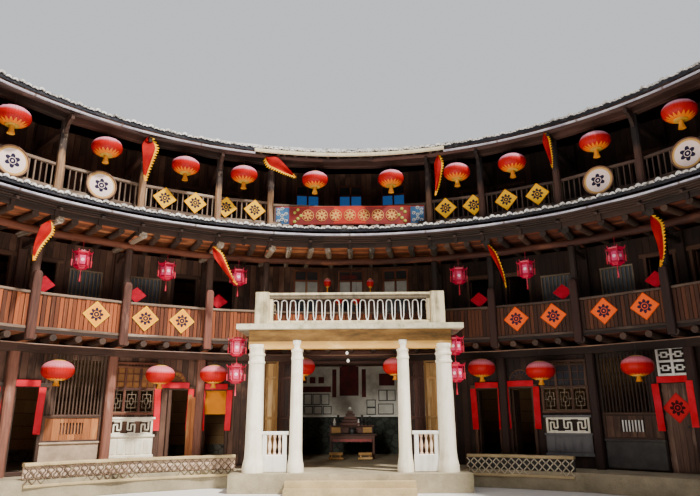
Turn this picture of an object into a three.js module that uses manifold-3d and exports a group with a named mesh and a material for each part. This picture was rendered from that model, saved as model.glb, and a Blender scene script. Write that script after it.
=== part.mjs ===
// A round earth-and-timber communal house seen from its courtyard: a thick rammed-earth ring wall, three
// storeys of timber rooms and galleries inside it, a tiled saddle roof, a tiled skirt eave below the top
// gallery, and an ancestral hall with a masonry portico.
// Millimetres, +Z up, origin on the ground at the centre of the courtyard. The hall is on +Y and the gate
// on -Y. Bearings are degrees from +Y towards +X.

import * as THREE from 'three';
import { mergeVertices } from 'three/addons/utils/BufferGeometryUtils.js';
import Module from 'manifold-3d';

const wasm = await Module();
wasm.setup();

// Clearances
const GAP = 0.3;
const BITE = 20;
const SLACK = 0.001;
const DEG = Math.PI / 180;

// Bays: a wide hall bay, a narrow bay on each side of it, then equal bays round to the gate
const HALL_HALF = 14;
const NARROW_BAY = 9;
const BAY = 12.5;
const BAYS_PER_SIDE = 12;

// Storey heights
const TERRACE_TOP = 420;
const GROUND_BEAM = { bottom: 3220, top: 3420 };
const FLOOR_2 = { beamTop: 3600, top: 3670 };
const BEAM_2 = { bottom: 5960, top: 6160 };
const FLOOR_3 = { beamTop: 6380, top: 6450 };
const PLATE_3 = { bottom: 8750, top: 9100 };
const ROOM_WALL_TOP = 9300;

// Plan radii
const TERRACE_R = 9500;
const GROUND_POST_R = 10600;
const POST_2_R = 10000;
const POST_3_R = 9350;
const ROOM_WALL_R = 11200;
const EARTH_WALL_R = { inside: 15400, foot: 16600, head: 16300 };
const ROOM_WALL_THICK = 100;
const POST = 200;
const GROUND_POST = 220;
const BEHIND_POST = 13;
const MAIN_BEAM = 160;
const NOSING = 50;
const SHORT_POST = { width: 200, depth: 125, bottom: 3450, top: 5050 };
const BALCONY = { height: 890, board: 40, cap: 60, capWide: 49 };
const RAILING = { lowBottom: 6950, lowTop: 7020, highBottom: 7570, highTop: 7640, wide: 70, bar: 50 };

// Roofs: one slope for both sides of the saddle roof, and a short steep skirt
const ROOF = {
  eaveR: 8900, eaveZ: 8910, ridgeR: 13600, outerR: 18300, slope: 0.45, thick: 140, segments: 56,
};
const RIDGE = { half: 160, rise: 120 };
const SKIRT = { eaveR: 8950, eaveZ: 6540, backR: 9455, backZ: 6870, thick: 60 };

// Doors and windows of the rooms, as bearings from the nearer post
const DOOR = { from: 0.75, to: 4.2, height: 2010 };
const ROOM_WINDOW = { from: 5.6, to: 11.7, sill: 1360, head: 2680 };
const LEAF = { thick: 40, clear: 8 };
const UPPER_DOOR = { from: 1.0, to: 4.6, height: 1960 };
const UPPER_WINDOW = { from: 6.2, to: 10.6, sill: 900, head: 1850 };
const HALL_WINDOWS = [-7.1, 0, 7.1];
const HALL_WINDOW = { half: 1.9, bottom: 7450, top: 8850 };
const EARTH_WINDOW = { width: 560, height: 820, sill: 1000 };

// Hall, portico and gate
const HALL = { halfWidth: 2600, wall: 150, front: 10440, back: 14950, shortOfEarth: 40 };
const ALTAR = { halfWidth: 760, front: 12350, depth: 780, height: 740, board: 60, leg: 80, inset: 55 };
const PORTICO = {
  rowY: 8250, outerX: 2350, innerX: 1330, beamBottom: 3350, halfWidth: 2850, frontY: 7950,
  beamX: 2200, midBeam: 3580, slabBottom: 3830, slabTop: 3960, railTop: 4760,
};
const COLUMN = {
  footTop: 140, bellTop: 420, bell: 1.1, ringLow: 370, ringHigh: 480, ringOut: 1.12,
  capLow: 130, capOut: 1.13, bevel: 25, sides: 12,
};
const OUTER_COLUMN = { radius: 190, flare: 1.4, top: 3460 };
const INNER_COLUMN = { radius: 140, flare: 1.43, top: 3560 };
const PORTICO_BEAM = { half: 120, overhang: 350 };
const PARAPET = {
  x: 2225, setBack: 175, pillar: 350, rail: 180, lowRail: 80, highRail: 150, bar: 80, frontBars: 18,
  sideBars: 4, sideStart: 300, sidePitch: 320, frontMargin: 213, intoRail: 50,
};
const BALUSTRADE = { fromInner: 215, toOuter: 300, low: 120, high: 850, top: 940, bar: 90, railHalf: 75 };
const TERRACE_WALL = {
  setBack: 10, wide: 160, base: 60, baseWide: 120, copeBottom: 290, top: 350, bar: 90,
  pitch: 1.6, endBar: 0.5,
};
const NAME_BOARD = { halfWidth: 2125, front: 9178, thick: 30, bottom: 6955, top: 7500 };
const LEAVES = { thick: 60, back: 80, length: 880, lift: 10, head: 40 };
const PLATFORM = { halfWidth: 2850, frontY: 7750 };
const STEP = { halfWidth: 1500, tread: 250, rise: 140 };
const GATE = { halfWidth: 900, height: 2600, slot: 1100 };

const WOOD = { color: 0x4a342a, roughness: 0.85, metalness: 0 };
const OLD_WOOD = { color: 0x5c4436, roughness: 0.85, metalness: 0 };
const BOARD = { color: 0x6b4a38, roughness: 0.85, metalness: 0 };
const TILE = { color: 0x6d6c6a, roughness: 0.9, metalness: 0 };
const EARTH = { color: 0xb08a5e, roughness: 0.95, metalness: 0 };
const STONE = { color: 0x9a958b, roughness: 0.9, metalness: 0 };
const CEMENT = { color: 0xcfc5ad, roughness: 0.8, metalness: 0 };
const OCHRE = { color: 0xd8a85a, roughness: 0.8, metalness: 0 };
const LIME = { color: 0xddd8cc, roughness: 0.9, metalness: 0 };
const RED = { color: 0xa03028, roughness: 0.6, metalness: 0 };

const house = new THREE.Group();

function addNode(name, body, look) {
  const mesh = new THREE.Mesh(body, new THREE.MeshStandardMaterial(look));
  mesh.name = name;
  house.add(mesh);
}

// Closed meshes to solids and back
function toSolid(geometry) {
  const bare = geometry.clone();
  bare.deleteAttribute('normal');
  bare.deleteAttribute('uv');
  const merged = mergeVertices(bare, 0.01);
  const vertProperties = Float32Array.from(merged.attributes.position.array);
  const triVerts = Uint32Array.from(merged.index.array);
  const solid = new wasm.Manifold(new wasm.Mesh({ numProp: 3, vertProperties, triVerts }));
  if (solid.volume() > 0) return solid;
  const turned = Uint32Array.from(triVerts).reverse();
  return new wasm.Manifold(new wasm.Mesh({ numProp: 3, vertProperties, triVerts: turned }));
}

function toGeometry(solid) {
  const mesh = solid.getMesh();
  const geometry = new THREE.BufferGeometry();
  const positions = new Float32Array(mesh.numVert * 3);
  for (let v = 0; v < mesh.numVert; v += 1) {
    for (let k = 0; k < 3; k += 1) positions[3 * v + k] = mesh.vertProperties[v * mesh.numProp + k];
  }
  geometry.setAttribute('position', new THREE.BufferAttribute(positions, 3));
  geometry.setIndex(Array.from(mesh.triVerts));
  geometry.computeVertexNormals();
  return geometry;
}

const join = (solids) => solids.reduce((whole, next) => whole.add(next));
const cut = (solid, cutters) => cutters.reduce((rest, cutter) => rest.subtract(cutter), solid);

// Points and bearings
function polar(r, bearing) {
  return new THREE.Vector2(r * Math.sin(bearing * DEG), r * Math.cos(bearing * DEG));
}

function halfBearings() {
  const firstBay = HALL_HALF + NARROW_BAY;
  const regular = Array.from({ length: BAYS_PER_SIDE + 1 }, (_, i) => firstBay + i * BAY);
  return [HALL_HALF, ...regular];
}

const POSTS_RIGHT = halfBearings();
const POSTS = [...POSTS_RIGHT.map((b) => -b).reverse(), ...POSTS_RIGHT];
const LAST_POST = POSTS_RIGHT[POSTS_RIGHT.length - 1];
const STATIONS = [
  ...POSTS_RIGHT.map((b) => -b).reverse(), -HALL_HALF / 3, HALL_HALF / 3, ...POSTS_RIGHT,
];
const ROUND_TWICE = [...STATIONS, ...STATIONS.map((b) => b + 360)];

// Straight timbers from post to post, all the way round
function ring(inner, outer, bottom, top) {
  const shape = new THREE.Shape(STATIONS.map((b) => polar(outer, b)));
  shape.holes.push(new THREE.Path(STATIONS.map((b) => polar(inner, b)).reverse()));
  const geometry = new THREE.ExtrudeGeometry(shape, { depth: top - bottom, bevelEnabled: false });
  return toSolid(geometry.translate(0, 0, bottom));
}

// The part of such a ring between two bearings
function arc(inner, outer, bottom, top, from, to) {
  const between = ROUND_TWICE.filter((b) => b > from + 0.01 && b < to - 0.01);
  const bearings = [from, ...between, to];
  const reach = (b, r) => polar(r * chordScale(b), b);
  const outline = [
    ...bearings.map((b) => reach(b, outer)),
    ...bearings.slice().reverse().map((b) => reach(b, inner)),
  ];
  const shape = new THREE.Shape(outline);
  const geometry = new THREE.ExtrudeGeometry(shape, { depth: top - bottom, bevelEnabled: false });
  return toSolid(geometry.translate(0, 0, bottom));
}

// How far inside the round a straight timber lies at a bearing between two stations
function chordScale(bearing) {
  const after = ROUND_TWICE.find((b) => b >= bearing - 0.001);
  if (Math.abs(after - bearing) < 0.001) return 1;
  const before = ROUND_TWICE[ROUND_TWICE.indexOf(after) - 1];
  const half = (after - before) / 2;
  return Math.cos(half * DEG) / Math.cos((bearing - before - half) * DEG);
}

// A box set square to the radius at a bearing
function radialBox(width, depth, bottom, top, r, bearing) {
  const box = new THREE.BoxGeometry(width, depth, top - bottom);
  box.translate(0, r, (top + bottom) / 2);
  return toSolid(box.rotateZ(-bearing * DEG));
}

// A box by its faces
function block(x0, x1, y0, y1, z0, z1) {
  const box = new THREE.BoxGeometry(x1 - x0, y1 - y0, z1 - z0);
  return toSolid(box.translate((x0 + x1) / 2, (y0 + y1) / 2, (z0 + z1) / 2));
}

// A profile of [radius, height] turned about the centre of the courtyard
function turned(profile, segments) {
  const points = profile[0][0] === 0 ? profile : [...profile, profile[0]];
  const outline = points.map(([r, z]) => new THREE.Vector2(r, z));
  return toSolid(new THREE.LatheGeometry(outline, segments).rotateX(Math.PI / 2));
}

// A wedge of the whole height between two bearings, to take a segment out of a ring
function wedge(from, to) {
  const reach = 30000;
  const steps = 4;
  const rim = Array.from({ length: steps + 1 }, (_, i) => polar(reach, from + ((to - from) * i) / steps));
  const shape = new THREE.Shape([new THREE.Vector2(0, 0), ...rim]);
  const geometry = new THREE.ExtrudeGeometry(shape, { depth: 20000, bevelEnabled: false });
  return toSolid(geometry.translate(0, 0, -1000));
}

// A ring added in two nodes, the half towards the hall and the half towards the gate
function addHalves(name, whole, look) {
  const side = POSTS_RIGHT[BAYS_PER_SIDE / 2];
  const hallHalf = whole.intersect(wedge(-side + SLACK, side - SLACK));
  const gateHalf = whole.intersect(wedge(side + SLACK, 360 - side - SLACK));
  addNode(`${name}_hall_side`, toGeometry(hallHalf), look);
  addNode(`${name}_gate_side`, toGeometry(gateHalf), look);
}

// A hole through a room wall, between two bearings
function holeAt(r, from, to, bottom, top) {
  const middle = (from + to) / 2;
  const width = 2 * r * chordScale(middle) * Math.sin(((to - from) / 2) * DEG);
  return radialBox(width, 4 * ROOM_WALL_THICK, bottom, top, r * chordScale(middle), middle);
}

// A ring from the given radius out to the inner face of the earth wall
function floorRing(edgeR, bottom, top) {
  const r = EARTH_WALL_R.inside - GAP;
  const disc = [[0, bottom - BITE], [r, bottom - BITE], [r, top + BITE], [0, top + BITE]];
  const within = turned(disc, ROOF.segments);
  return ring(edgeR, EARTH_WALL_R.foot, bottom, top).intersect(within);
}

// Terrace, portico platform and steps
function terrace() {
  const ground = floorRing(TERRACE_R, 0, TERRACE_TOP);
  const gateSlot = block(
    -GATE.slot, GATE.slot, -EARTH_WALL_R.foot, -TERRACE_R / 2, -BITE, TERRACE_TOP + BITE);
  return cut(ground, [gateSlot]);
}

function porticoPlatform() {
  const half = PLATFORM.halfWidth;
  const whole = block(-half, half, PLATFORM.frontY, TERRACE_R + BITE, 0, TERRACE_TOP);
  return cut(whole, [ring(TERRACE_R - GAP, TERRACE_R + 500, -BITE, TERRACE_TOP + BITE)]);
}

function step(index) {
  const front = PLATFORM.frontY - STEP.tread * index;
  const back = PLATFORM.frontY - STEP.tread * (index - 1) - GAP;
  return block(-STEP.halfWidth, STEP.halfWidth, front, back, 0, TERRACE_TOP - STEP.rise * index);
}

addNode('terrace', toGeometry(terrace()), STONE);
addNode('portico_platform', toGeometry(porticoPlatform()), STONE);
addNode('step_upper', toGeometry(step(1)), STONE);
addNode('step_lower', toGeometry(step(2)), STONE);

// Height of the roof's underside at a radius, and everything above it
function underside(r) {
  return ROOF.eaveZ + ROOF.slope * (ROOF.ridgeR - ROOF.eaveR) - ROOF.slope * Math.abs(r - ROOF.ridgeR);
}

function aboveRoof() {
  const { eaveR, ridgeR, outerR } = ROOF;
  const sky = underside(ridgeR) + 1000;
  const low = [eaveR, ridgeR, outerR].map((r) => [r, underside(r) - GAP]);
  return turned([[eaveR, sky], ...low, [outerR, sky]], ROOF.segments);
}

// Rammed-earth wall in two segments, with one small window a bay on each upper storey
function earthWall() {
  const { inside, foot, head } = EARTH_WALL_R;
  const top = underside(inside) + BITE;
  const profile = [[inside, 0], [foot, 0], [head, top], [inside, top]];
  return turned(profile, ROOF.segments).subtract(aboveRoof());
}

function bayMiddles() {
  return POSTS.slice(1).map((b, i) => (b + POSTS[i]) / 2).concat(180);
}

function earthWindows(floorTop) {
  const bottom = floorTop + EARTH_WINDOW.sill;
  const depth = 2400;
  const r = (EARTH_WALL_R.inside + EARTH_WALL_R.foot) / 2;
  return bayMiddles().map((b) => (
    radialBox(EARTH_WINDOW.width, depth, bottom, bottom + EARTH_WINDOW.height, r, b)));
}

function gateway() {
  const { halfWidth, height } = GATE;
  return block(-halfWidth, halfWidth, -EARTH_WALL_R.foot - 500, -EARTH_WALL_R.inside + 500, -BITE, height);
}

function earthWallSegments() {
  const whole = cut(earthWall(), [...earthWindows(FLOOR_2.top), ...earthWindows(FLOOR_3.top), gateway()]);
  addHalves('earth_wall', whole, EARTH);
}

earthWallSegments();

// Post rings in four runs: square posts joined by the beam or plate that they carry, spliced beside a post
const RUN_ENDS = {
  front_right: [13.3, 86.2], rear_right: [86.2, 186.3], rear_left: [186.3, 273.8], front_left: [273.8, 373.3],
};

function postRuns(storey, r, size, bottom, beam, trim) {
  const reach = size / 2 + 10;
  for (const [name, [from, to]] of Object.entries(RUN_ENDS)) {
    const posts = [...POSTS, ...POSTS.map((b) => b + 360)].filter((b) => b > from && b < to);
    const beams = arc(r - reach, r + reach, beam.bottom, beam.top, from + SLACK, to - SLACK);
    const run = join([beams, ...posts.map((b) => radialBox(size, size, bottom, beam.bottom + BITE, r, b))]);
    addNode(`${storey}_posts_${name}`, toGeometry(cut(run, trim)), WOOD);
  }
}

postRuns('ground', GROUND_POST_R, GROUND_POST, TERRACE_TOP + GAP, GROUND_BEAM, []);
postRuns('level_2', POST_2_R, POST, FLOOR_2.top + GAP, BEAM_2, []);
postRuns('level_3', POST_3_R, POST, FLOOR_3.top + GAP, PLATE_3, [aboveRoof()]);

// Gallery floors: boards on one main beam at each post, which reaches out under the next post ring
function gallery(edgeR, beamR, beamBottom, floor) {
  const boards = floorRing(edgeR, floor.beamTop, floor.top);
  const reach = ROOM_WALL_R + 2 * ROOM_WALL_THICK - beamR;
  const beams = POSTS.map((b) => (
    radialBox(MAIN_BEAM, reach, beamBottom + GAP, floor.beamTop + BITE, beamR + reach / 2, b)));
  return join([boards, ...beams]);
}

const POST_2_FACE = POST_2_R - POST / 2;
const POST_3_FACE = POST_3_R - POST / 2;
const FLOOR_2_EDGE = POST_2_FACE - NOSING;
addNode('level_2_floor', toGeometry(gallery(FLOOR_2_EDGE, POST_2_FACE, GROUND_BEAM.top, FLOOR_2)), OLD_WOOD);
addNode('level_3_floor', toGeometry(gallery(POST_3_FACE, POST_3_FACE, BEAM_2.top, FLOOR_3)), OLD_WOOD);

// Boarded balcony of level 2: boards and their capping in front of the posts, and stout short posts in front
function shortPosts(slack) {
  const { width, depth, bottom, top } = SHORT_POST;
  return POSTS.flatMap((b) => {
    const front = FLOOR_2_EDGE - depth - slack;
    const lowBack = FLOOR_2_EDGE - GAP;
    const highBack = POST_2_FACE - GAP;
    const wide = width + 2 * slack;
    return [
      radialBox(wide, lowBack - front, bottom - slack, FLOOR_2.top + BITE, (lowBack + front) / 2, b),
      radialBox(wide, highBack - front, FLOOR_2.top + GAP, top + slack, (highBack + front) / 2, b),
    ];
  });
}

function balcony() {
  const back = POST_2_FACE - GAP;
  const top = FLOOR_2.top + BALCONY.height;
  const boards = ring(back - BALCONY.board, back, FLOOR_2.top + GAP, top - BALCONY.cap);
  const cap = ring(back - BALCONY.capWide, back, top - BALCONY.cap - BITE, top);
  const floorEdge = ring(FLOOR_2_EDGE - GAP, POST_2_R, GROUND_BEAM.top, FLOOR_2.top + GAP);
  return cut(join([boards, cap, ...shortPosts(0)]), [floorEdge]);
}

function railing() {
  const face = POST_3_R + POST / 2 + BEHIND_POST;
  const { lowBottom, lowTop, highBottom, highTop, wide, bar } = RAILING;
  const low = ring(face, face + wide, lowBottom, lowTop);
  const high = ring(face, face + wide, highBottom, highTop);
  const bars = STATIONS.map((b) => (
    radialBox(bar, bar, lowTop - BITE, highBottom + BITE, face + wide / 2, b)));
  return join([low, high, ...bars]);
}

addNode('level_2_balcony', toGeometry(balcony()), BOARD);
addNode('level_3_railing', toGeometry(railing()), OLD_WOOD);

// Room walls: the ground storey stands behind its posts, the upper ones at the back of the galleries
const GROUND_WALL_R = GROUND_POST_R + GROUND_POST / 2 + BEHIND_POST;

function doorSide(index) {
  return index % 2 === 0 ? 1 : -1;
}

// Bearings of a hole beside the post that the door of this bay stands at
function besidePost(index, hole) {
  const first = HALL_HALF + NARROW_BAY + index * BAY;
  if (doorSide(index) > 0) return [first + hole.from, first + hole.to];
  return [first + BAY - hole.to, first + BAY - hole.from];
}

const mirrored = ([from, to], side) => (side > 0 ? [from, to] : [-to, -from]);

function roomHoles(r, floorTop, door, pane) {
  const holes = [];
  for (const side of [1, -1]) {
    for (let i = 0; i < BAYS_PER_SIDE; i += 1) {
      const [d0, d1] = mirrored(besidePost(i, door), side);
      const [w0, w1] = mirrored(besidePost(i, pane), side);
      holes.push(holeAt(r, d0, d1, floorTop - BITE, floorTop + door.height));
      holes.push(holeAt(r, w0, w1, floorTop + pane.sill, floorTop + pane.head));
    }
    const [n0, n1] = mirrored([HALL_HALF + NARROW_BAY - door.to, HALL_HALF + NARROW_BAY - door.from], side);
    holes.push(holeAt(r, n0, n1, floorTop - BITE, floorTop + door.height));
  }
  return holes;
}

// X of the two faces of a side wall of the hall
function hallSide(side) {
  const { halfWidth, wall } = HALL;
  return side > 0 ? [halfWidth, halfWidth + wall] : [-halfWidth - wall, -halfWidth];
}

function groundWalls() {
  const r = GROUND_WALL_R;
  const middle = r + ROOM_WALL_THICK / 2;
  const holes = roomHoles(middle, TERRACE_TOP, DOOR, ROOM_WINDOW);
  const hallClear = [1, -1].map((side) => {
    const [x0, x1] = hallSide(side);
    return block(x0 - GAP, x1 + GAP, HALL.front - 500, EARTH_WALL_R.inside, 0, GROUND_BEAM.top + BITE);
  });
  const whole = (from, to, bottom = TERRACE_TOP + GAP) => (
    arc(r, r + ROOM_WALL_THICK, bottom, GROUND_BEAM.top, from, to));
  const nearHall = HALL_HALF + 0.35;
  const [doorFrom, doorTo] = besidePost(1, DOOR);
  const doorHead = TERRACE_TOP + DOOR.height;
  const quarter = POSTS_RIGHT[POSTS_RIGHT.length / 2];
  const runs = [
    ['room_wall_1_front_right', nearHall, doorFrom - SLACK],
    ['room_wall_1_right', doorTo + SLACK, quarter - SLACK],
    ['room_wall_1_rear_right', quarter + SLACK, LAST_POST],
    ['room_wall_1_front_left', -quarter + SLACK, -nearHall],
    ['room_wall_1_rear_left', -LAST_POST, -quarter - SLACK],
  ];
  for (const [name, from, to] of runs) {
    addNode(name, toGeometry(cut(whole(from, to), [...holes, ...hallClear])), WOOD);
  }
  const over = whole(doorFrom + SLACK, doorTo - SLACK, doorHead);
  addNode('wall_over_plank_door', toGeometry(over), WOOD);
}

groundWalls();

function upperWalls(level, floorTop, top) {
  const r = ROOM_WALL_R - ROOM_WALL_THICK / 2;
  const holes = roomHoles(ROOM_WALL_R, floorTop, UPPER_DOOR, UPPER_WINDOW);
  const shift = level === 2 ? FLOOR_3.top - FLOOR_2.top : 0;
  for (const b of HALL_WINDOWS) {
    const { half, bottom, top: head } = HALL_WINDOW;
    holes.push(holeAt(ROOM_WALL_R, b - half, b + half, bottom - shift, head - shift));
  }
  const front = HALL_HALF + NARROW_BAY + 2 * BAY;
  const rear = HALL_HALF + NARROW_BAY + 7 * BAY;
  const runs = [
    ['front', -front + SLACK, front - SLACK],
    ['right', front + SLACK, rear - SLACK],
    ['rear', rear + SLACK, 360 - rear - SLACK],
    ['left', -rear + SLACK, -front - SLACK],
  ];
  for (const [name, from, to] of runs) {
    const run = arc(r, r + ROOM_WALL_THICK, floorTop + GAP, top, from, to);
    addNode(`room_wall_${level}_${name}`, toGeometry(cut(run, holes)), WOOD);
  }
}

upperWalls(2, FLOOR_2.top, BEAM_2.top);
upperWalls(3, FLOOR_3.top, ROOM_WALL_TOP);

// The one room door that stands closed: a plank leaf on a round hanging stile with pivots in sill and head
function plankDoor() {
  const [from, to] = besidePost(1, DOOR);
  const middle = (from + to) / 2;
  const r = (GROUND_WALL_R + ROOM_WALL_THICK / 2) * chordScale(middle);
  const half = r * Math.sin(((to - from) / 2) * DEG);
  const { thick, clear } = LEAF;
  const hinge = -half + clear + thick / 2;
  const low = TERRACE_TOP + clear;
  const high = TERRACE_TOP + DOOR.height - clear;
  const leaf = new THREE.BoxGeometry(half - clear - hinge, thick, high - low);
  leaf.translate((half - clear + hinge) / 2, r, (high + low) / 2);
  const stile = new THREE.CylinderGeometry(thick / 2, thick / 2, DOOR.height - 2 * GAP, 12);
  stile.rotateX(Math.PI / 2).translate(hinge, r, TERRACE_TOP + DOOR.height / 2);
  const turn = -middle * DEG;
  return join([toSolid(leaf.rotateZ(turn)), toSolid(stile.rotateZ(turn))]);
}

addNode('plank_door', toGeometry(plankDoor()), OLD_WOOD);

// Saddle roof: the inner slope rests on the gallery plate, the outer one on the earth wall
function roofSlope(fromR, toR) {
  const profile = [
    [fromR, underside(fromR)], [toR, underside(toR)],
    [toR, underside(toR) + ROOF.thick], [fromR, underside(fromR) + ROOF.thick],
  ];
  return turned(profile, ROOF.segments);
}

function ridgeCap() {
  const { ridgeR, slope, thick } = ROOF;
  const { half, rise } = RIDGE;
  const peak = underside(ridgeR) + thick + GAP;
  const profile = [
    [ridgeR - half, peak - slope * half],
    [ridgeR, peak],
    [ridgeR + half, peak - slope * half],
    [ridgeR + half, peak + rise],
    [ridgeR - half, peak + rise],
  ];
  return turned(profile, ROOF.segments);
}

addHalves('roof_inner_slope', roofSlope(ROOF.eaveR, ROOF.ridgeR - GAP), TILE);
addHalves('roof_outer_slope', roofSlope(ROOF.ridgeR, ROOF.outerR), TILE);
addNode('roof_ridge', toGeometry(ridgeCap()), TILE);

// Skirt eave below the top gallery, notched round its posts
function skirtEave() {
  const { eaveR, eaveZ, backR, backZ, thick } = SKIRT;
  const profile = [[eaveR, eaveZ], [backR, backZ], [backR, backZ + thick], [eaveR, eaveZ + thick]];
  const notch = POST + 2 * GAP;
  const notches = POSTS.map((b) => radialBox(notch, notch, FLOOR_3.top, FLOOR_3.top + 1000, POST_3_R, b));
  return cut(turned(profile, ROOF.segments), notches);
}

addNode('skirt_eave', toGeometry(skirtEave()), TILE);

// Ancestral hall: two side walls and a back wall under the gallery floor, as one body
function hallWalls() {
  const { halfWidth, wall, front, back } = HALL;
  const bottom = TERRACE_TOP + GAP;
  const corner = Math.sqrt(EARTH_WALL_R.inside ** 2 - (halfWidth + wall) ** 2) - HALL.shortOfEarth;
  const sides = [-1, 1].map((side) => {
    const [x0, x1] = hallSide(side);
    return block(x0, x1, front, corner, bottom, GROUND_BEAM.top);
  });
  const end = block(-halfWidth - BITE, halfWidth + BITE, back, back + wall, bottom, GROUND_BEAM.top);
  return join([...sides, end]);
}

addNode('hall_walls', toGeometry(hallWalls()), LIME);

function altarTable() {
  const { halfWidth, front, depth, height, board, leg, inset } = ALTAR;
  const bottom = TERRACE_TOP + GAP;
  const top = TERRACE_TOP + height;
  const legs = [-halfWidth + inset, halfWidth - inset - leg].flatMap((x) => (
    [front + inset, front + depth - inset - leg].map((y) => (
      block(x, x + leg, y, y + leg, bottom, top - board + BITE)))));
  return join([block(-halfWidth, halfWidth, front, front + depth, top - board, top), ...legs]);
}

addNode('altar_table', toGeometry(altarTable()), OLD_WOOD);

// Portico: four turned columns with a bell base and ringed capital, ochre beams, slab and parapet
const beamEnd = PORTICO.beamX + PORTICO_BEAM.overhang;

// The capitals reach up round the front beam, so its place is cut out of them
function columnSolid(x, { radius, flare, top }) {
  const { rowY, beamBottom, slabTop } = PORTICO;
  const low = TERRACE_TOP + GAP;
  const { footTop, bellTop, bell, ringLow, ringHigh, ringOut, capLow, capOut, bevel } = COLUMN;
  const profile = [
    [0, low], [radius * flare, low], [radius * flare, low + footTop], [radius * bell, low + bellTop],
    [radius, top - ringHigh], [radius * ringOut, top - ringHigh + bevel],
    [radius * ringOut, top - ringLow - bevel], [radius, top - ringLow],
    [radius, top - capLow], [radius * capOut, top - capLow + bevel], [radius * capOut, top], [0, top],
  ].map(([r, z]) => new THREE.Vector2(r, z));
  const lathe = new THREE.LatheGeometry(profile, COLUMN.sides).rotateX(Math.PI / 2);
  const reach = PORTICO_BEAM.half + GAP;
  const beam = block(-beamEnd - GAP, beamEnd + GAP, rowY - reach, rowY + reach, beamBottom, slabTop);
  return cut(toSolid(lathe.translate(x, rowY, 0)), [beam]);
}

// What the portico stops against: the edge of the level 2 floor and the short posts
function galleryFront() {
  const { midBeam, railTop } = PORTICO;
  const edge = ring(FLOOR_2_EDGE - GAP, FLOOR_2_EDGE + 2000, midBeam - 500, railTop + 500);
  return [edge, ...shortPosts(GAP)];
}

function porticoBeams() {
  const { beamX, midBeam, slabBottom, rowY, beamBottom } = PORTICO;
  const { half } = PORTICO_BEAM;
  const front = block(-beamEnd, beamEnd, rowY - half, rowY + half, beamBottom + GAP, slabBottom);
  const sides = [-1, 1].map((s) => (
    block(s * beamX - half, s * beamX + half, rowY, POST_2_R, midBeam, slabBottom)));
  return cut(join([front, ...sides]), galleryFront());
}

function porticoSlab() {
  const { halfWidth, frontY, slabBottom, slabTop } = PORTICO;
  const whole = block(-halfWidth, halfWidth, frontY, POST_2_R, slabBottom + GAP, slabTop);
  return cut(whole, galleryFront());
}

function parapet() {
  const { slabTop, railTop, frontY } = PORTICO;
  const { x, setBack, pillar, rail, lowRail, highRail, bar, intoRail } = PARAPET;
  const y = frontY + setBack;
  const low = slabTop + GAP;
  const barTop = railTop - highRail + intoRail;
  const upright = (px, py, wide, top) => (
    block(px - wide / 2, px + wide / 2, py - wide / 2, py + wide / 2, low, top));
  const rails = (x0, x1, y0, y1) => [
    block(x0, x1, y0, y1, low, low + lowRail), block(x0, x1, y0, y1, railTop - highRail, railTop)];
  const parts = rails(-x, x, y - rail / 2, y + rail / 2);
  for (const s of [-1, 1]) {
    parts.push(upright(s * x, y, pillar, railTop));
    parts.push(...rails(s * x - rail / 2, s * x + rail / 2, y, FLOOR_2_EDGE));
    for (let i = 0; i < PARAPET.sideBars; i += 1) {
      parts.push(upright(s * x, y + PARAPET.sideStart + i * PARAPET.sidePitch, bar, barTop));
    }
  }
  const pitch = (2 * (x - PARAPET.frontMargin)) / PARAPET.frontBars;
  for (let i = 0; i < PARAPET.frontBars; i += 1) {
    parts.push(upright(PARAPET.frontMargin - x + pitch * (i + 0.5), y, bar, barTop));
  }
  return cut(join(parts), galleryFront());
}

function lowBalustrade(side) {
  const { outerX, innerX, rowY } = PORTICO;
  const { fromInner, toOuter, low, high, top, bar, railHalf } = BALUSTRADE;
  const bottom = TERRACE_TOP + GAP;
  const x0 = innerX + fromInner;
  const x1 = outerX - toOuter;
  const span = (a, b, half, z0, z1) => (
    block(Math.min(side * a, side * b), Math.max(side * a, side * b), rowY - half, rowY + half, z0, z1));
  const rails = [
    span(x0, x1, railHalf, bottom, bottom + low), span(x0, x1, railHalf, bottom + high, bottom + top)];
  const bars = [0.2, 0.5, 0.8].map((t) => {
    const px = x0 + (x1 - x0) * t;
    return span(px - bar / 2, px + bar / 2, bar / 2, bottom + low - BITE, bottom + high + BITE);
  });
  return join([...rails, ...bars]);
}

for (const [side, name] of [[-1, 'left'], [1, 'right']]) {
  const { outerX, innerX } = PORTICO;
  addNode(`portico_outer_column_${name}`, toGeometry(columnSolid(side * outerX, OUTER_COLUMN)), CEMENT);
  addNode(`portico_inner_column_${name}`, toGeometry(columnSolid(side * innerX, INNER_COLUMN)), CEMENT);
  addNode(`portico_balustrade_${name}`, toGeometry(lowBalustrade(side)), CEMENT);
}
addNode('portico_beams', toGeometry(porticoBeams()), OCHRE);
addNode('portico_slab', toGeometry(porticoSlab()), CEMENT);
addNode('portico_parapet', toGeometry(parapet()), CEMENT);

// Low openwork walls on the terrace edge, coped, one on each side of the portico
function terraceWall(from, to) {
  const { setBack, wide, base, baseWide, copeBottom, top, bar, pitch, endBar } = TERRACE_WALL;
  const low = TERRACE_TOP + GAP;
  const inner = TERRACE_R + setBack;
  const middle = inner + wide / 2;
  const foot = arc(middle - baseWide / 2, middle + baseWide / 2, low, low + base, from, to);
  const cope = arc(inner, inner + wide, low + copeBottom, low + top, from, to);
  const count = Math.round((to - from) / pitch);
  const bars = Array.from({ length: count + 1 }, (_, i) => {
    const b = from + endBar + ((to - from - 2 * endBar) * i) / count;
    return radialBox(bar, bar, low + base - BITE, low + copeBottom + BITE, middle * chordScale(b), b);
  });
  return join([foot, cope, ...bars]);
}

addNode('terrace_wall_left', toGeometry(terraceWall(-47, -18)), STONE);
addNode('terrace_wall_right', toGeometry(terraceWall(18, 33.5)), STONE);

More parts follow.
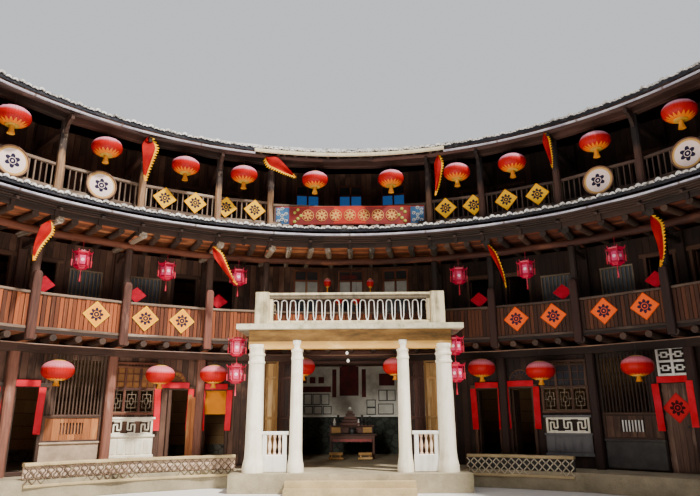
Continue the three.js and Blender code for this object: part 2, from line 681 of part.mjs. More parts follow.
// Name board across the hall bay of the top gallery, and the gate leaves standing open in their gateway
function nameBoard() {
  const { halfWidth, front, thick, bottom, top } = NAME_BOARD;
  return block(-halfWidth, halfWidth, front, front + thick, bottom, top);
}

function gateLeaf(side) {
  const { thick, back, length, lift, head } = LEAVES;
  const x = GATE.halfWidth - GAP;
  const [x0, x1] = side > 0 ? [x - thick, x] : [-x, -x + thick];
  const end = -EARTH_WALL_R.inside - back;
  return block(x0, x1, end - length, end, lift, GATE.height - head);
}

addNode('name_board', toGeometry(nameBoard()), RED);
addNode('gate_leaf_left', toGeometry(gateLeaf(-1)), WOOD);
addNode('gate_leaf_right', toGeometry(gateLeaf(1)), WOOD);

export default house;
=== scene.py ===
"""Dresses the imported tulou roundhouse: tiles, timber, windows, portico, lanterns and hangings, floor and light."""

import random
from math import atan2, cos, degrees, hypot, pi, radians, sin, tan

import bmesh
import bpy
from bpy.props import FloatProperty, FloatVectorProperty, PointerProperty
from mathutils import Matrix, Vector


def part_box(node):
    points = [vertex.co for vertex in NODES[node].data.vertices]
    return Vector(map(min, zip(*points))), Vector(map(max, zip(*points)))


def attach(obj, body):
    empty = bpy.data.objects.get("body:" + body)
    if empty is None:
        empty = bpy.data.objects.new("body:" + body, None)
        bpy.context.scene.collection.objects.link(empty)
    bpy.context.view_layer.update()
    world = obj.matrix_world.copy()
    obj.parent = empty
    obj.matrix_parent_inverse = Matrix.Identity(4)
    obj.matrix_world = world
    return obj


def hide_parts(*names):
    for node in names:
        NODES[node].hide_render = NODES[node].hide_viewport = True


bl_info = {
    "name": "Tulou roundhouse",
    "version": (1, 0, 0),
    "blender": (4, 5, 0),
    "location": "3D View > Sidebar > Roundhouse",
    "description": "Builds the visible finish of the roundhouse over its packed model",
    "category": "Object",
}

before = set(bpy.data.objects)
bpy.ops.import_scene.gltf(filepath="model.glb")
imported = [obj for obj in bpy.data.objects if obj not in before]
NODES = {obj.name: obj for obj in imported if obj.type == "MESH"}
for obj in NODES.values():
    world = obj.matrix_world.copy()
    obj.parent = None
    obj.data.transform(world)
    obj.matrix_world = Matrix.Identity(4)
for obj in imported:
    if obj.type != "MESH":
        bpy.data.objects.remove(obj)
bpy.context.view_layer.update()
HOUSE = "house"
DOOR_BODY = "plank_door"

# Plan of the house, as in the part's source: metres, and degrees from +Y towards +X
HALL_HALF = 14.0
BAY = 12.5
FIRST_BAY = 23.0
RIGHT = [HALL_HALF] + [FIRST_BAY + BAY * i for i in range(13)]
POSTS = [-b for b in reversed(RIGHT)] + RIGHT
STATIONS = [-b for b in reversed(RIGHT)] + [-HALL_HALF / 3, HALL_HALF / 3] + RIGHT
BAYS = list(zip(POSTS, POSTS[1:])) + [(POSTS[-1], POSTS[0] + 360)]

TERRACE_TOP, FLOOR_2, FLOOR_3 = 0.42, 3.67, 6.45
GROUND_POST_R, POST_2_R, POST_3_R = 10.6, 10.0, 9.35
EAVE_R, EAVE_Z, RIDGE_R, OUTER_R, SLOPE, SLAB = 8.9, 8.91, 13.6, 18.3, 0.45, 0.14
SKIRT_R, SKIRT_BACK_R, SKIRT_TOP, SKIRT_SLOPE = 8.95, 9.455, 6.735, 0.36

# Pitch of the saddle roof in degrees, and the radius of the galleries by which their finishes are laid out
PITCH, COURT_R = 24.2, 10.0

# Radii of the upper rooms' front, the balcony's boards, the rails, the ground storey's front and its plank door,
# and the terrace walls' coping and openwork; then the middle height of the balcony's boards and the gap between them
ROOM_R, BOARDS_R, RAIL_R, LOW_FRONT_R, DOOR_R = 11.2, 9.882, 9.44, 10.70, 10.773
COPING_R, OPENWORK_R = 9.59, 9.47
BOARDS_Z, BOARD_GAP = 4.09, 0.016

# Where the portico's parapet and columns and the hall's front and back walls stand along Y
PARAPET_Y, COLUMN_Y, FRONT_Y, BACK_Y = 8.125, 8.25, 10.43, 14.93

# Signs of X to the left and to the right of the hall's axis
SIDES = (-1, 1)

# The photograph's viewpoint in metres, its heading, tilt and roll in degrees, and its lens in millimetres
EYE, HEADING, TILT, ROLL, LENS = (0.211, -6.976, 1.75), 0.742, 15.587, -0.284, 30.68

# Finishes by short name, and Geometry Nodes trees by the function that made them
F = {}
TREES = {}


def spans():
    """Neighbouring stations all the way round."""
    return list(zip(STATIONS, STATIONS[1:])) + [(STATIONS[-1], STATIONS[0] + 360)]


def roof_under(r):
    """Height of the underside of the saddle roof at a radius."""
    return EAVE_Z + SLOPE * (RIDGE_R - EAVE_R) - SLOPE * abs(r - RIDGE_R)


def move(x=0.0, y=0.0, z=0.0):
    """Shift by local distances."""
    return Matrix.Translation((x, y, z))


def turn(angle, axis):
    """Rotation by degrees about a local axis."""
    return Matrix.Rotation(radians(angle), 4, axis)


def at(r, bearing, z=0.0):
    """Place at a radius and bearing, with X along the round, Y outwards and Z up."""
    b = radians(bearing)
    return move(r * sin(b), r * cos(b), z) @ Matrix.Rotation(-b, 4, "Z")


def along(r, bearing, z=0.0):
    """Place on the straight timbers between two stations, turned as they are."""
    b = (bearing - STATIONS[0]) % 360 + STATIONS[0]
    low, high = next(span for span in spans() if span[0] <= b <= span[1])
    middle, half = (low + high) / 2, (high - low) / 2
    reach = r * cos(radians(half)) / cos(radians(b - middle))
    return move(reach * sin(radians(b)), reach * cos(radians(b)), z) @ turn(-middle, "Z")


def chord(r, low, high, z=0.0):
    """Place and length of a straight timber whose ends lie at a radius and two bearings."""
    half = radians((high - low) / 2)
    return at(r * cos(half), (low + high) / 2, z), 2 * r * sin(half)


def between(low, high, count):
    """Equally spaced bearings between two posts, without the posts."""
    return [low + (high - low) * (i + 1) / (count + 1) for i in range(count)]


def arc(across, steps, up=None, points=None, sweep=2 * pi):
    """Points of a circle or an ellipse, or of the part of it that a sweep covers."""
    up = across if up is None else up
    return [(across * cos(sweep * i / steps), up * sin(sweep * i / steps)) for i in range(points or steps)]


UPRIGHT = turn(-90, "Y")
OUTWARD = turn(90, "Z")


class Shape:
    """Points and faces of a piece, the coordinates that its grain follows, and a tone for each of its parts."""

    def __init__(self, seed=1, toned=True):
        self.points, self.faces, self.slots, self.grain, self.tones = [], [], [], [], []
        self.dice = random.Random(seed)
        self.toned = toned
        self.slot = 0

    def add(self, points, faces, place=None):
        """Adds a part drawn about its own origin, with its length along X."""
        place = place or Matrix()
        first = len(self.points)
        shift = Vector([self.dice.uniform(-9, 9) for _ in range(3)]) if self.toned else Vector()
        self.tones += [self.dice.random()] * len(points)
        for point in points:
            self.points.append(place @ Vector(point))
            self.grain.append(Vector(point) + shift)
        self.faces += [[first + i for i in face] for face in faces]
        self.slots += [self.slot] * len(faces)

    def loft(self, sections, place=None, closed=False):
        """Skins a row of sections with equal numbers of points, and caps the ends unless it closes on itself."""
        count = len(sections[0])
        points = [p for section in sections for p in section]
        faces = []
        for i in range(len(sections) - (0 if closed else 1)):
            a, b = i * count, (i + 1) % len(sections) * count
            faces += [[a + k, a + (k + 1) % count, b + (k + 1) % count, b + k] for k in range(count)]
        if not closed:
            faces += [list(range(count))[::-1], [(len(sections) - 1) * count + k for k in range(count)]]
        self.add(points, faces, place)

    def timber(self, place, length, deep, wide, chamfer=0.01, wander=0.0, steps=1):
        """Squared timber along local X; deep is its local Z and wide its local Y."""
        y, z, c = wide / 2, deep / 2, min(chamfer, deep / 3, wide / 3)
        ring = [(-y, -z + c), (-y + c, -z), (y - c, -z), (y, -z + c), (y, z - c), (y - c, z), (-y + c, z), (-y, z - c)]
        if c <= 0.0015:
            ring = [(-y, -z), (y, -z), (y, z), (-y, z)]
        sections = []
        for i in range(steps + 1):
            off = [self.dice.uniform(-wander, wander) for _ in range(2)] if 0 < i < steps else (0, 0)
            jitter = [self.dice.uniform(-wander, wander) / 2 for _ in ring]
            sections.append([
                (length * (i / steps - 0.5), a + off[0] + j, b + off[1] + j) for (a, b), j in zip(ring, jitter)])
        self.loft([s[::-1] for s in sections], place)

    def posts(self, place, spots, *size, y=0.0, z=0.0):
        """Upright timbers at several distances along X."""
        for x in spots:
            self.timber(place @ move(x, y, z) @ UPRIGHT, *size)

    def rails(self, place, heights, *size, x=0.0, y=0.0):
        """Level timbers at several heights."""
        for z in heights:
            self.timber(place @ move(x, y, z), *size)

    def log(self, place, length, radius, thin=0.9, sides=10, steps=3, wander=0.012):
        """Round log along local X, thinner at its far end and never quite straight."""
        sections = []
        for i in range(steps + 1):
            size = radius * (1 + (thin - 1) * i / steps)
            y, z = [self.dice.uniform(-wander, wander) for _ in range(2)] if 0 < i < steps else (0, 0)
            sections.append([(length * (i / steps - 0.5), y + dy, z + dz) for dy, dz in arc(size, sides)])
        self.loft([s[::-1] for s in sections], place)

    def lathe(self, place, profile, sides=24):
        """Profile of (radius, height) turned about local Z."""
        self.loft([[(x, y, z) for x, y in arc(r, sides)] for r, z in profile], place)

    def prism(self, place, outline, thick):
        """Flat outline in local X and Z, given a thickness along Y."""
        sections = [[(x, y, z) for x, z in outline] for y in (-thick / 2, thick / 2)]
        self.loft(sections[::-1], place)

    def tube(self, place, path, radius, sides=6):
        """Round bar along a path in local X and Z."""
        sections = []
        for i, (x, z) in enumerate(path):
            before, after = path[max(i - 1, 0)], path[min(i + 1, len(path) - 1)]
            dx, dz = after[0] - before[0], after[1] - before[1]
            size = hypot(dx, dz) or 1
            nx, nz = -dz / size, dx / size
            sections.append([(x + out * nx, side, z + out * nz) for out, side in arc(radius, sides)])
        self.loft(sections, place)

    def turned(self, profile, segments=224, first=0.0, last=360.0):
        """Profile of (radius, height) swept round the courtyard between two bearings."""
        whole = last - first >= 360
        steps = segments if whole else segments + 1
        sections = []
        for i in range(steps):
            b = radians(first + (last - first) * i / segments)
            sections.append([(r * sin(b), r * cos(b), z) for r, z in profile])
        self.loft(sections, closed=whole)

    def mesh(self, name):
        """The mesh, with its grain and tone kept as attributes and its faces turned outwards."""
        mesh = bpy.data.meshes.new(name)
        mesh.from_pydata([tuple(p) for p in self.points], [], self.faces)
        grain = mesh.attributes.new("grain", "FLOAT_VECTOR", "POINT")
        grain.data.foreach_set("vector", [c for g in self.grain for c in g])
        if self.toned:
            mesh.attributes.new("tone", "FLOAT", "POINT").data.foreach_set("value", self.tones)
        mesh.polygons.foreach_set("material_index", self.slots)
        mesh.validate()
        return mesh

    def piece(self, name, finishes, slot="dark_timber", **more):
        """Makes the object and gives it its finishes, one for each slot."""
        mesh = self.mesh(name)
        for finish in finishes.split():
            mesh.materials.append(F[finish])
        settle(name, mesh, slot, **more)


def wear(finish, *nodes):
    """Gives CAD nodes their finish."""
    for node in nodes:
        materials = NODES[node].data.materials
        materials.clear()
        materials.append(F[finish])


def place_object(name, data):
    """Puts a new object in the scene."""
    made = bpy.data.objects.new(name, data)
    bpy.context.scene.collection.objects.link(made)
    return made


def plain_mesh(made):
    """The mesh that an object's modifiers leave; the object goes."""
    graph = bpy.context.evaluated_depsgraph_get()
    mesh = bpy.data.meshes.new_from_object(made.evaluated_get(graph), depsgraph=graph)
    made.modifiers.clear()
    bpy.data.objects.remove(made)
    return mesh


def settle(name, mesh, slot, body=HOUSE, replaces=(), smooth=35):
    """Shades a finished mesh, closes its normals and hands the object to the frame."""
    work = bmesh.new()
    work.from_mesh(mesh)
    bmesh.ops.recalc_face_normals(work, faces=work.faces)
    work.to_mesh(mesh)
    work.free()
    mesh.shade_smooth()
    mesh.set_sharp_from_angle(angle=radians(smooth))
    piece = place_object(name, mesh)
    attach(piece, body)
    if replaces:
        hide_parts(*replaces)
    return piece


class Marks:
    """Places where Geometry Nodes repeat one unit, with its grain shifted unless a pattern must stay centred."""

    def __init__(self, seed=5, shifted=True):
        self.dice = random.Random(seed)
        self.shifted = shifted
        self.rows = []

    def add(self, place, size=(1, 1, 1)):
        """Adds one place, with a size on each local axis."""
        tone = self.dice.random()
        shift = [self.dice.uniform(-9, 9) if self.shifted else 0.0 for _ in range(3)]
        self.rows.append((place.to_translation(), place.to_euler(), size, tone, shift))

    def mesh(self):
        """Mark points that carry turn, size, tone and grain shift."""
        mesh = bpy.data.meshes.new("marks")
        mesh.from_pydata([tuple(row[0]) for row in self.rows], [], [])
        for name, kind, column in (
                ("turn", "FLOAT_VECTOR", 1), ("size", "FLOAT_VECTOR", 2), ("tone", "FLOAT", 3),
                ("shift", "FLOAT_VECTOR", 4)):
            data = mesh.attributes.new(name, kind, "POINT").data
            if kind == "FLOAT":
                data.foreach_set("value", [row[column] for row in self.rows])
            else:
                data.foreach_set("vector", [c for row in self.rows for c in row[column]])
        return mesh


class Tree:
    """A Geometry Nodes tree under construction, with named inputs."""

    def __init__(self, name, inputs):
        self.group = bpy.data.node_groups.new(name, "GeometryNodeTree")
        face = self.group.interface
        self.sockets = {}
        for title, kind in [("Geometry", "NodeSocketGeometry"), *inputs]:
            self.sockets[title] = face.new_socket(title, in_out="INPUT", socket_type=kind).identifier
        face.new_socket("Geometry", in_out="OUTPUT", socket_type="NodeSocketGeometry")
        self.start = self.group.nodes.new("NodeGroupInput")
        self.end = self.group.nodes.new("NodeGroupOutput")

    def add(self, kind, inputs=None, **settings):
        """Adds a node, sets it and feeds its inputs."""
        node = self.group.nodes.new(kind)
        for key, value in settings.items():
            setattr(node, key, value)
        for key, value in (inputs or {}).items():
            if isinstance(value, bpy.types.NodeSocket):
                self.group.links.new(value, node.inputs[key])
            else:
                node.inputs[key].default_value = value
        return node

    def field(self, name):
        """Reads a named vector attribute."""
        node = self.add("GeometryNodeInputNamedAttribute", {"Name": name}, data_type="FLOAT_VECTOR")
        return node.outputs["Attribute"]

    def store(self, geometry, name, value, kind="FLOAT_VECTOR", domain="INSTANCE"):
        """Stores a value as a named attribute."""
        return self.add("GeometryNodeStoreNamedAttribute", {"Geometry": geometry, "Name": name, "Value": value},
                        data_type=kind, domain=domain).outputs[0]

    def copies(self, points, **more):
        """The unit on each point."""
        unit = self.add("GeometryNodeObjectInfo", {"Object": self.start.outputs["Unit"]}).outputs["Geometry"]
        return self.add("GeometryNodeInstanceOnPoints", {"Points": points, "Instance": unit, **more}).outputs[0]

    def close(self, instances):
        """Realizes the copies, moves each one's grain by its shift and sets the material."""
        real = self.add("GeometryNodeRealizeInstances", {"Geometry": instances}).outputs[0]
        moved = self.add("ShaderNodeVectorMath", {0: self.field("grain"), 1: self.field("shift")}, operation="ADD")
        kept = self.store(real, "grain", moved.outputs[0], domain="POINT")
        done = self.add("GeometryNodeSetMaterial", {"Geometry": kept, "Material": self.start.outputs["Finish"]})
        self.group.links.new(done.outputs[0], self.end.inputs[0])
        return self


def marks_tree():
    """One unit on each mark, turned and sized as the mark says."""
    tree = Tree("Unit on each mark", [("Unit", "NodeSocketObject"), ("Finish", "NodeSocketMaterial")])
    points = tree.start.outputs["Geometry"]
    return tree.close(tree.copies(points, Rotation=tree.field("turn"), Scale=tree.field("size")))


def rows_tree():
    """A row of tiles repeated round the courtyard by equal turns."""
    tree = Tree("Tile rows round", [
        ("Unit", "NodeSocketObject"), ("Finish", "NodeSocketMaterial"), ("Rows", "NodeSocketInt"),
        ("First", "NodeSocketFloat"), ("Step", "NodeSocketFloat"), ("Seed", "NodeSocketInt")])
    line = tree.add("GeometryNodeMeshLine", {"Count": tree.start.outputs["Rows"], "Offset": (0, 0, 0)})
    index = tree.add("GeometryNodeInputIndex").outputs[0]
    angle = tree.add("ShaderNodeMath", {
        0: index, 1: tree.start.outputs["Step"], 2: tree.start.outputs["First"]}, operation="MULTIPLY_ADD")
    spin = tree.add("ShaderNodeCombineXYZ", {"Z": angle.outputs[0]}).outputs[0]
    chance = tree.add("FunctionNodeRandomValue", {"Seed": tree.start.outputs["Seed"]}, data_type="FLOAT")
    spread = tree.add("FunctionNodeRandomValue", {
        0: (-9, -9, -9), 1: (9, 9, 9), "Seed": tree.start.outputs["Seed"]}, data_type="FLOAT_VECTOR")
    toned = tree.store(tree.copies(line.outputs[0], Rotation=spin), "tone", chance.outputs[1], "FLOAT")
    return tree.close(tree.store(toned, "shift", spread.outputs[0]))


def grow(name, maker, base, unit, finish, slot, values=(), **more):
    """Runs a tree on a base mesh, keeps the result as a plain mesh and removes the modifier."""
    if maker not in TREES:
        TREES[maker] = maker()
    tree = TREES[maker]
    carrier = place_object(name + "_marks", base)
    unit = place_object(name + "_unit", unit.mesh(name + "_unit"))
    modifier = carrier.modifiers.new("repeat", "NODES")
    modifier.node_group = tree.group
    for title, value in {"Unit": unit, "Finish": F[finish], **dict(values)}.items():
        modifier[tree.sockets[title]] = value
    mesh = plain_mesh(carrier)
    bpy.data.objects.remove(unit)
    for spare in ("turn", "size", "shift"):
        if spare in mesh.attributes:
            mesh.attributes.remove(mesh.attributes[spare])
    mesh.name = name
    settle(name, mesh, slot, **more)


def repeat(name, unit, marks, finish, slot="dark_timber", **more):
    """Repeats a unit shape on marks."""
    grow(name, marks_tree, marks.mesh(), unit, finish, slot, **more)


def rows(name, unit, count, finish, first=0.0, step=None, seed=3):
    """Repeats a row of tiles round the courtyard."""
    values = {"Rows": count, "First": first, "Step": step or 2 * pi / count, "Seed": seed}
    grow(name, rows_tree, bpy.data.meshes.new(name), unit, finish, "roof_tile", values)


def paint(code):
    """Linear colour of a hex code; one that is linear already stays as it is."""
    if not isinstance(code, str):
        return code
    parts = [int(code[i:i + 2], 16) / 255 for i in (0, 2, 4)]
    return tuple(c / 12.92 if c <= 0.04045 else ((c + 0.055) / 1.055) ** 2.4 for c in parts) + (1.0,)


class Output:
    """What a node of a finish gives. Sums and products of it are nodes too."""

    def __init__(self, finish, socket):
        self.finish, self.socket = finish, socket

    def __add__(self, other):
        return self.finish.math("ADD", self, other)

    def __radd__(self, other):
        return self.finish.math("ADD", other, self)

    def __sub__(self, other):
        return self.finish.math("SUBTRACT", self, other)

    def __rsub__(self, other):
        return self.finish.math("SUBTRACT", other, self)

    def __mul__(self, other):
        return self.finish.math("MULTIPLY", self, other)

    def __truediv__(self, other):
        return self.finish.math("DIVIDE", self, other)


class Finish:
    """A procedural material under construction."""

    def __init__(self, name, roughness=0.8, **sockets):
        self.material = bpy.data.materials.new(name)
        self.material.use_nodes = True
        self.tree = self.material.node_tree
        self.shader = self.tree.nodes["Principled BSDF"]
        self.put(self.shader.inputs["Roughness"], roughness)
        for key, value in sockets.items():
            self.put(self.shader.inputs[key.replace("_", " ")], value)

    def put(self, socket, value):
        """Links an output to a socket, or sets the socket to a number, a vector or a colour's hex code."""
        if isinstance(value, Output):
            self.tree.links.new(value.socket, socket)
        else:
            socket.default_value = paint(value)

    def node(self, kind, inputs=None, **settings):
        """Adds a shader node, sets it and feeds its inputs."""
        node = self.tree.nodes.new("ShaderNode" + kind)
        for key, value in settings.items():
            setattr(node, key, value)
        for key, value in (inputs or {}).items():
            self.put(node.inputs[key], value)
        return node

    def add(self, kind, inputs=None, out=0, **settings):
        """Adds a shader node for one of its outputs."""
        return Output(self, self.node(kind, inputs, **settings).outputs[out])

    def math(self, operation, a, b=0.0, c=0.0):
        return self.add("Math", {0: a, 1: b, 2: c}, operation=operation)

    def scaled(self, vector, by):
        return self.add("VectorMath", {0: vector, 1: by}, operation="MULTIPLY")

    def noise(self, vector, scale=1.0, detail=4.0, rough=0.55):
        return self.add("TexNoise", {"Vector": vector, "Scale": scale, "Detail": detail, "Roughness": rough})

    def cells(self, vector, scale=1.0, out=0, feature="F1"):
        return self.add("TexVoronoi", {"Vector": vector, "Scale": scale}, out, feature=feature)

    def chance(self, value):
        return self.add("TexWhiteNoise", {"W": value}, noise_dimensions="1D")

    def ramp(self, value, *stops):
        """Runs through colours, each with its position."""
        node = self.node("ValToRGB", {0: value})
        elements = node.color_ramp.elements
        elements.remove(elements[-1])
        elements[0].position, elements[0].color = stops[0][0], paint(stops[0][1])
        for position, code in stops[1:]:
            elements.new(position).color = paint(code)
        return Output(self, node.outputs[0])

    def rise(self, value, low, high):
        """0 up to one value and 1 from another."""
        return self.ramp(value, (low, "000000"), (high, "ffffff"))

    def fall(self, value, low, high):
        """1 up to one value and 0 from another."""
        return self.ramp(value, (low, "ffffff"), (high, "000000"))

    def mix(self, share, a, b, blend="MIX"):
        return self.add("Mix", {0: share, 6: a, 7: b}, 2, data_type="RGBA", blend_type=blend)

    def colour(self, value):
        self.put(self.shader.inputs["Base Color"], value)
        return self

    def worked(self):
        """The colour made so far."""
        return Output(self, self.shader.inputs["Base Color"].links[0].from_socket)

    def bump(self, height, strength=0.4, depth=0.01):
        bump = self.add("Bump", {"Strength": strength, "Distance": depth, "Height": height})
        self.put(self.shader.inputs["Normal"], bump)
        return self.material

    def grain(self):
        return self.add("Attribute", None, "Vector", attribute_name="grain")

    def tone(self):
        return self.add("Attribute", None, "Fac", attribute_name="tone")

    def place(self):
        return self.add("TexCoord", None, "Object")

    def split(self, vector):
        return [Output(self, part) for part in self.node("SeparateXYZ", {0: vector}).outputs]

    def join(self, x, y, z):
        return self.add("CombineXYZ", {0: x, 1: y, 2: z})

    def polar(self, radius):
        """Distance along the round, distance from its middle and height, from Object coordinates."""
        x, y, z = self.split(self.place())
        run = self.math("ARCTAN2", x, y) * radius
        return run, self.math("SQRT", x * x + y * y), z

    def fold(self, value):
        """Distance to the nearer end of each whole step."""
        return self.math("PINGPONG", self.math("FRACT", value), 0.5)

    def painted_side_shade(self, body, shade, first=0.4, last=0.58):
        """Painted shade: multiplies the colour by a shade colour across the court on its +X side, and leaves the sunny
        side as it is.
        """
        share = self.rise(self.split(self.place())[0] / (2 * COURT_R) + 0.5, first, last)
        return self.mix(share, body, self.mix(1.0, body, shade, "MULTIPLY"))

    def boards(self, across, lengthways, width, dark, light, worn):
        """Boards side by side: each has its own tone and fibres, with a dark joint between them."""
        index = across / width
        number = self.math("FLOOR", index)
        tone = self.chance(number)
        fibre = self.noise(self.join(across * 40, lengthways * 2.5, number))
        blotch = self.noise(self.join(across * 1.3, lengthways, number), 0.9, 3)
        body = self.ramp(fibre * 0.7 + tone * 0.35, (0.3, dark), (0.8, light))
        body = self.mix(self.rise(blotch, 0.52, 0.7), body, worn)
        joint = self.rise(self.fold(index), 0.0, 0.06)
        height = joint * 0.8 + fibre * 0.25
        self.colour(self.mix(joint, "0d0907", body))
        return self.bump(height, 0.6, 0.012)


def timber_finish(name, dark, light, worn, wear=0.55, roughness=0.78, side_shade=None):
    """Old timber: fibres along the piece, a tone for each part, weathered patches, and, where a shade colour is given,
    painted shade on the far side of the court.
    """
    f = Finish(name, roughness)
    grain, tone = f.grain(), f.tone()
    fibre = f.noise(f.scaled(grain, (2.2, 34, 34)), 1.0, 5)
    blotch = f.noise(f.scaled(grain, (0.9, 4, 4)), 1.0, 4)
    body = f.ramp(fibre * 0.75 + tone * 0.4, (0.3, dark), (0.85, light))
    body = f.mix(f.rise(blotch, wear, wear + 0.16), body, worn)
    # Painted shade on the far side of the court
    if side_shade:
        body = f.painted_side_shade(body, side_shade)
    return f.colour(body).bump(fibre, 0.5, 0.008)


def post_3_finish():
    """Top gallery posts, dark and chipped above and tan near the rail, with painted shade on the far side of the court.
    """
    f = Finish("top gallery post timber", 0.8)
    grain = f.grain()
    fibre = f.noise(f.scaled(grain, (2.2, 34, 34)), 1.0, 5)
    chips = f.noise(f.scaled(grain, (3.5, 9, 9)), 1.0, 5, 0.7)
    height = f.split(f.place())[2] + chips * 0.5
    low = f.fall(height - 7.6, 0.45, 0.62)
    dark = f.ramp(fibre, (0.3, "1b1412"), (0.75, "4c3a30"))
    dark = f.mix(f.rise(chips, 0.58, 0.64), dark, "8a7563")
    tan = f.ramp(fibre, (0.25, "6c4c35"), (0.75, "b48d68"))
    # Painted shade: purple-grey on the far side of the court
    body = f.painted_side_shade(f.mix(low, dark, tan), "7c6c78", 0.42, 0.66)
    return f.colour(body).bump(fibre + chips, 0.5, 0.008)


def board_wall_finish():
    """Upright wall boards of the rooms, with painted shade on the far side of the court."""
    f = Finish("dark board wall", 0.8)
    run, _, z = f.polar(11.0)
    f.boards(run, z, 0.17, "30211a", "6a4838", "7c5a48")
    return f.colour(f.painted_side_shade(f.worked(), "8a7e7a", 0.52, 0.68)).material


def floor_finish():
    """Floor boards that run round the gallery, warm below, with painted shade: near-black on their upright sawn edges,
    and darker on the far side of the court.
    """
    f = Finish("gallery floor boards", 0.8)
    run, away, _ = f.polar(COURT_R)
    f.boards(away, run, 0.15, "5e3018", "b8653a", "c98352")
    # Painted shade: upright faces go near-black
    flat = f.math("ABSOLUTE", f.split(f.add("NewGeometry", None, "Normal"))[2])
    body = f.mix(f.math("GREATER_THAN", flat, 0.5), "2c1b13", f.worked())
    return f.colour(f.painted_side_shade(body, "a48c84", 0.5, 0.72)).material


def sarking_finish():
    """Boards under the tiles."""
    f = Finish("roof boards", 0.85)
    run, away, _ = f.polar(12.0)
    return f.boards(run, away, 0.12, "2a1b15", "5e3c2b", "6c4a36")


def earth_finish():
    """Rammed earth in lifts over a rubble plinth, rain-streaked under the eaves."""
    f = Finish("rammed earth", 0.95)
    run, _, z = f.polar(16.5)
    lift = z / 0.38
    wave = f.noise(f.join(run * 0.5, 0.0, z), 1.0, 3)
    number = f.math("FLOOR", lift + wave * 0.3)
    seam = f.fold(lift + wave * 0.3)
    block = f.math("FLOOR", run / 1.7 + number * 0.37)
    tone = f.chance(number * 31.7 + block)
    grit = f.noise(f.place(), 26, 6, 0.65)
    cloud = f.noise(f.place(), 0.55, 5)
    body = f.ramp(tone * 0.25 + cloud * 0.75, (0.2, "8f6743"), (0.5, "b88c60"), (0.8, "d0ab7c"))
    body = f.mix(0.22, body, f.ramp(grit, (0.35, "6e4c30"), (0.7, "ddbd90")))
    line = f.rise(seam, 0.0, 0.05)
    body = f.mix(line, "7a5638", body)
    streak = f.noise(f.join(run * 2.2, 0.0, z * 0.12), 1.0, 4)
    stain = f.rise(z / 10.0, 0.55, 0.95) * f.rise(streak, 0.45, 0.62)
    body = f.mix(stain * 0.6, body, "59432f")
    stones = f.join(run * 3.2, 0.0, z * 4.6)
    rubble = f.cells(stones, 1.0, 1)
    edge = f.cells(stones, feature="DISTANCE_TO_EDGE")
    gap = f.rise(edge, 0.0, 0.07)
    stone = f.mix(0.5, f.ramp(rubble, (0.1, "6f6a60"), (0.9, "a39c8e")), f.ramp(grit, (0.3, "5f5a50"), (0.7, "b0a998")))
    stone = f.mix(gap, "4f4a42", stone)
    low = f.rise(z, 0.78, 0.8)
    height = grit * 0.5 + (line * 0.5 + (1.0 - low) * f.rise(edge, 0.0, 0.15))
    return f.colour(f.mix(low, stone, body)).bump(height, 0.55, 0.03)


def stone_finish(name, dark, light, moss=0.25, scale=1.0):
    """Weathered stone or cement: speckled, stained and mossy in patches."""
    f = Finish(name, 0.9)
    p = f.place()
    speck = f.noise(p, 34 * scale, 6, 0.7)
    cloud = f.noise(p, 1.6 * scale, 5, 0.6)
    body = f.ramp(speck * 0.35 + cloud * 0.65, (0.3, dark), (0.68, light))
    pits = f.rise(f.cells(p, 60 * scale), 0.0, 0.25)
    body = f.mix((1.0 - pits) * 0.35, body, dark)
    green = f.rise(f.noise(p, 2.7 * scale, 6, 0.7), 0.56, 0.68) * moss
    body = f.mix(green, body, "6d7040")
    return f.colour(body).bump(speck * 0.6 + pits * 0.4, 0.4, 0.006)


def cement_finish(name, base, stained, streaks=0.5):
    """Painted cement with rain streaks, worn low down."""
    f = Finish(name, 0.82)
    x, y, z = f.split(f.place())
    streak = f.noise(f.join(x * 9, y * 9, z * 0.9), 1.0, 5)
    cloud = f.noise(f.place(), 3.2, 5, 0.6)
    fine = f.noise(f.place(), 46, 4)
    body = f.mix(f.rise(streak * 0.6 + cloud * 0.4, 0.47, 0.66) * streaks, base, stained)
    body = f.mix(f.rise(fine, 0.4, 0.75) * 0.18, body, stained)
    return f.colour(body).bump(cloud * 0.5 + fine * 0.3, 0.3, 0.006)


def hall_wall_finish(lime):
    """Lime plaster above a dark rubble dado, as on the hall's back wall."""
    f = Finish("hall plaster and dado", 0.9)
    x, y, z = f.split(f.place())
    cloud = f.noise(f.place(), 1.3, 6, 0.65)
    plaster = f.ramp(cloud, (0.32, "9d968a"), (0.5, lime), (0.72, "dedbd2"))
    stones = f.join(x * 5.0, y * 5.0, z * 6.5)
    gap = f.rise(f.cells(stones, feature="DISTANCE_TO_EDGE"), 0.0, 0.09)
    dado = f.mix(gap, "181a18", f.ramp(f.cells(stones, 1.0, 1), (0.2, "262a26"), (0.8, "424640")))
    above = f.math("GREATER_THAN", z, 1.67)
    height = (1.0 - above) * gap + cloud * 0.3
    return f.colour(f.mix(above, dado, plaster)).bump(height, 0.4, 0.01)


def tile_finish(name, dark, middle, light, lime):
    """Clay tiles: a tone for each row and course, and lime bloom."""
    f = Finish(name, 0.85)
    grain, tone = f.grain(), f.tone()
    course = f.chance(f.math("FLOOR", f.split(grain)[1] * 4.7))
    bloom = f.noise(f.place(), 1.9, 6, 0.65)
    fine = f.noise(f.scaled(grain, (20, 20, 20)), 1.0, 5, 0.7)
    body = f.ramp((course + tone) * 0.25 + fine * 0.5, (0.25, dark), (0.55, middle), (0.85, light))
    body = f.mix(f.rise(bloom, 0.54, 0.7), body, lime)
    return f.colour(body).bump(fine, 0.35, 0.006)


def mortar_finish():
    """Lime mortar at the tile ends, blackened in places."""
    f = Finish("lime tile ends", 0.85)
    cloud = f.noise(f.place(), 5.0, 6, 0.75)
    return f.colour(f.ramp(cloud, (0.34, "4e4a48"), (0.44, "c9c4be"), (0.6, "faf7f4"))).bump(cloud, 0.5, 0.01)


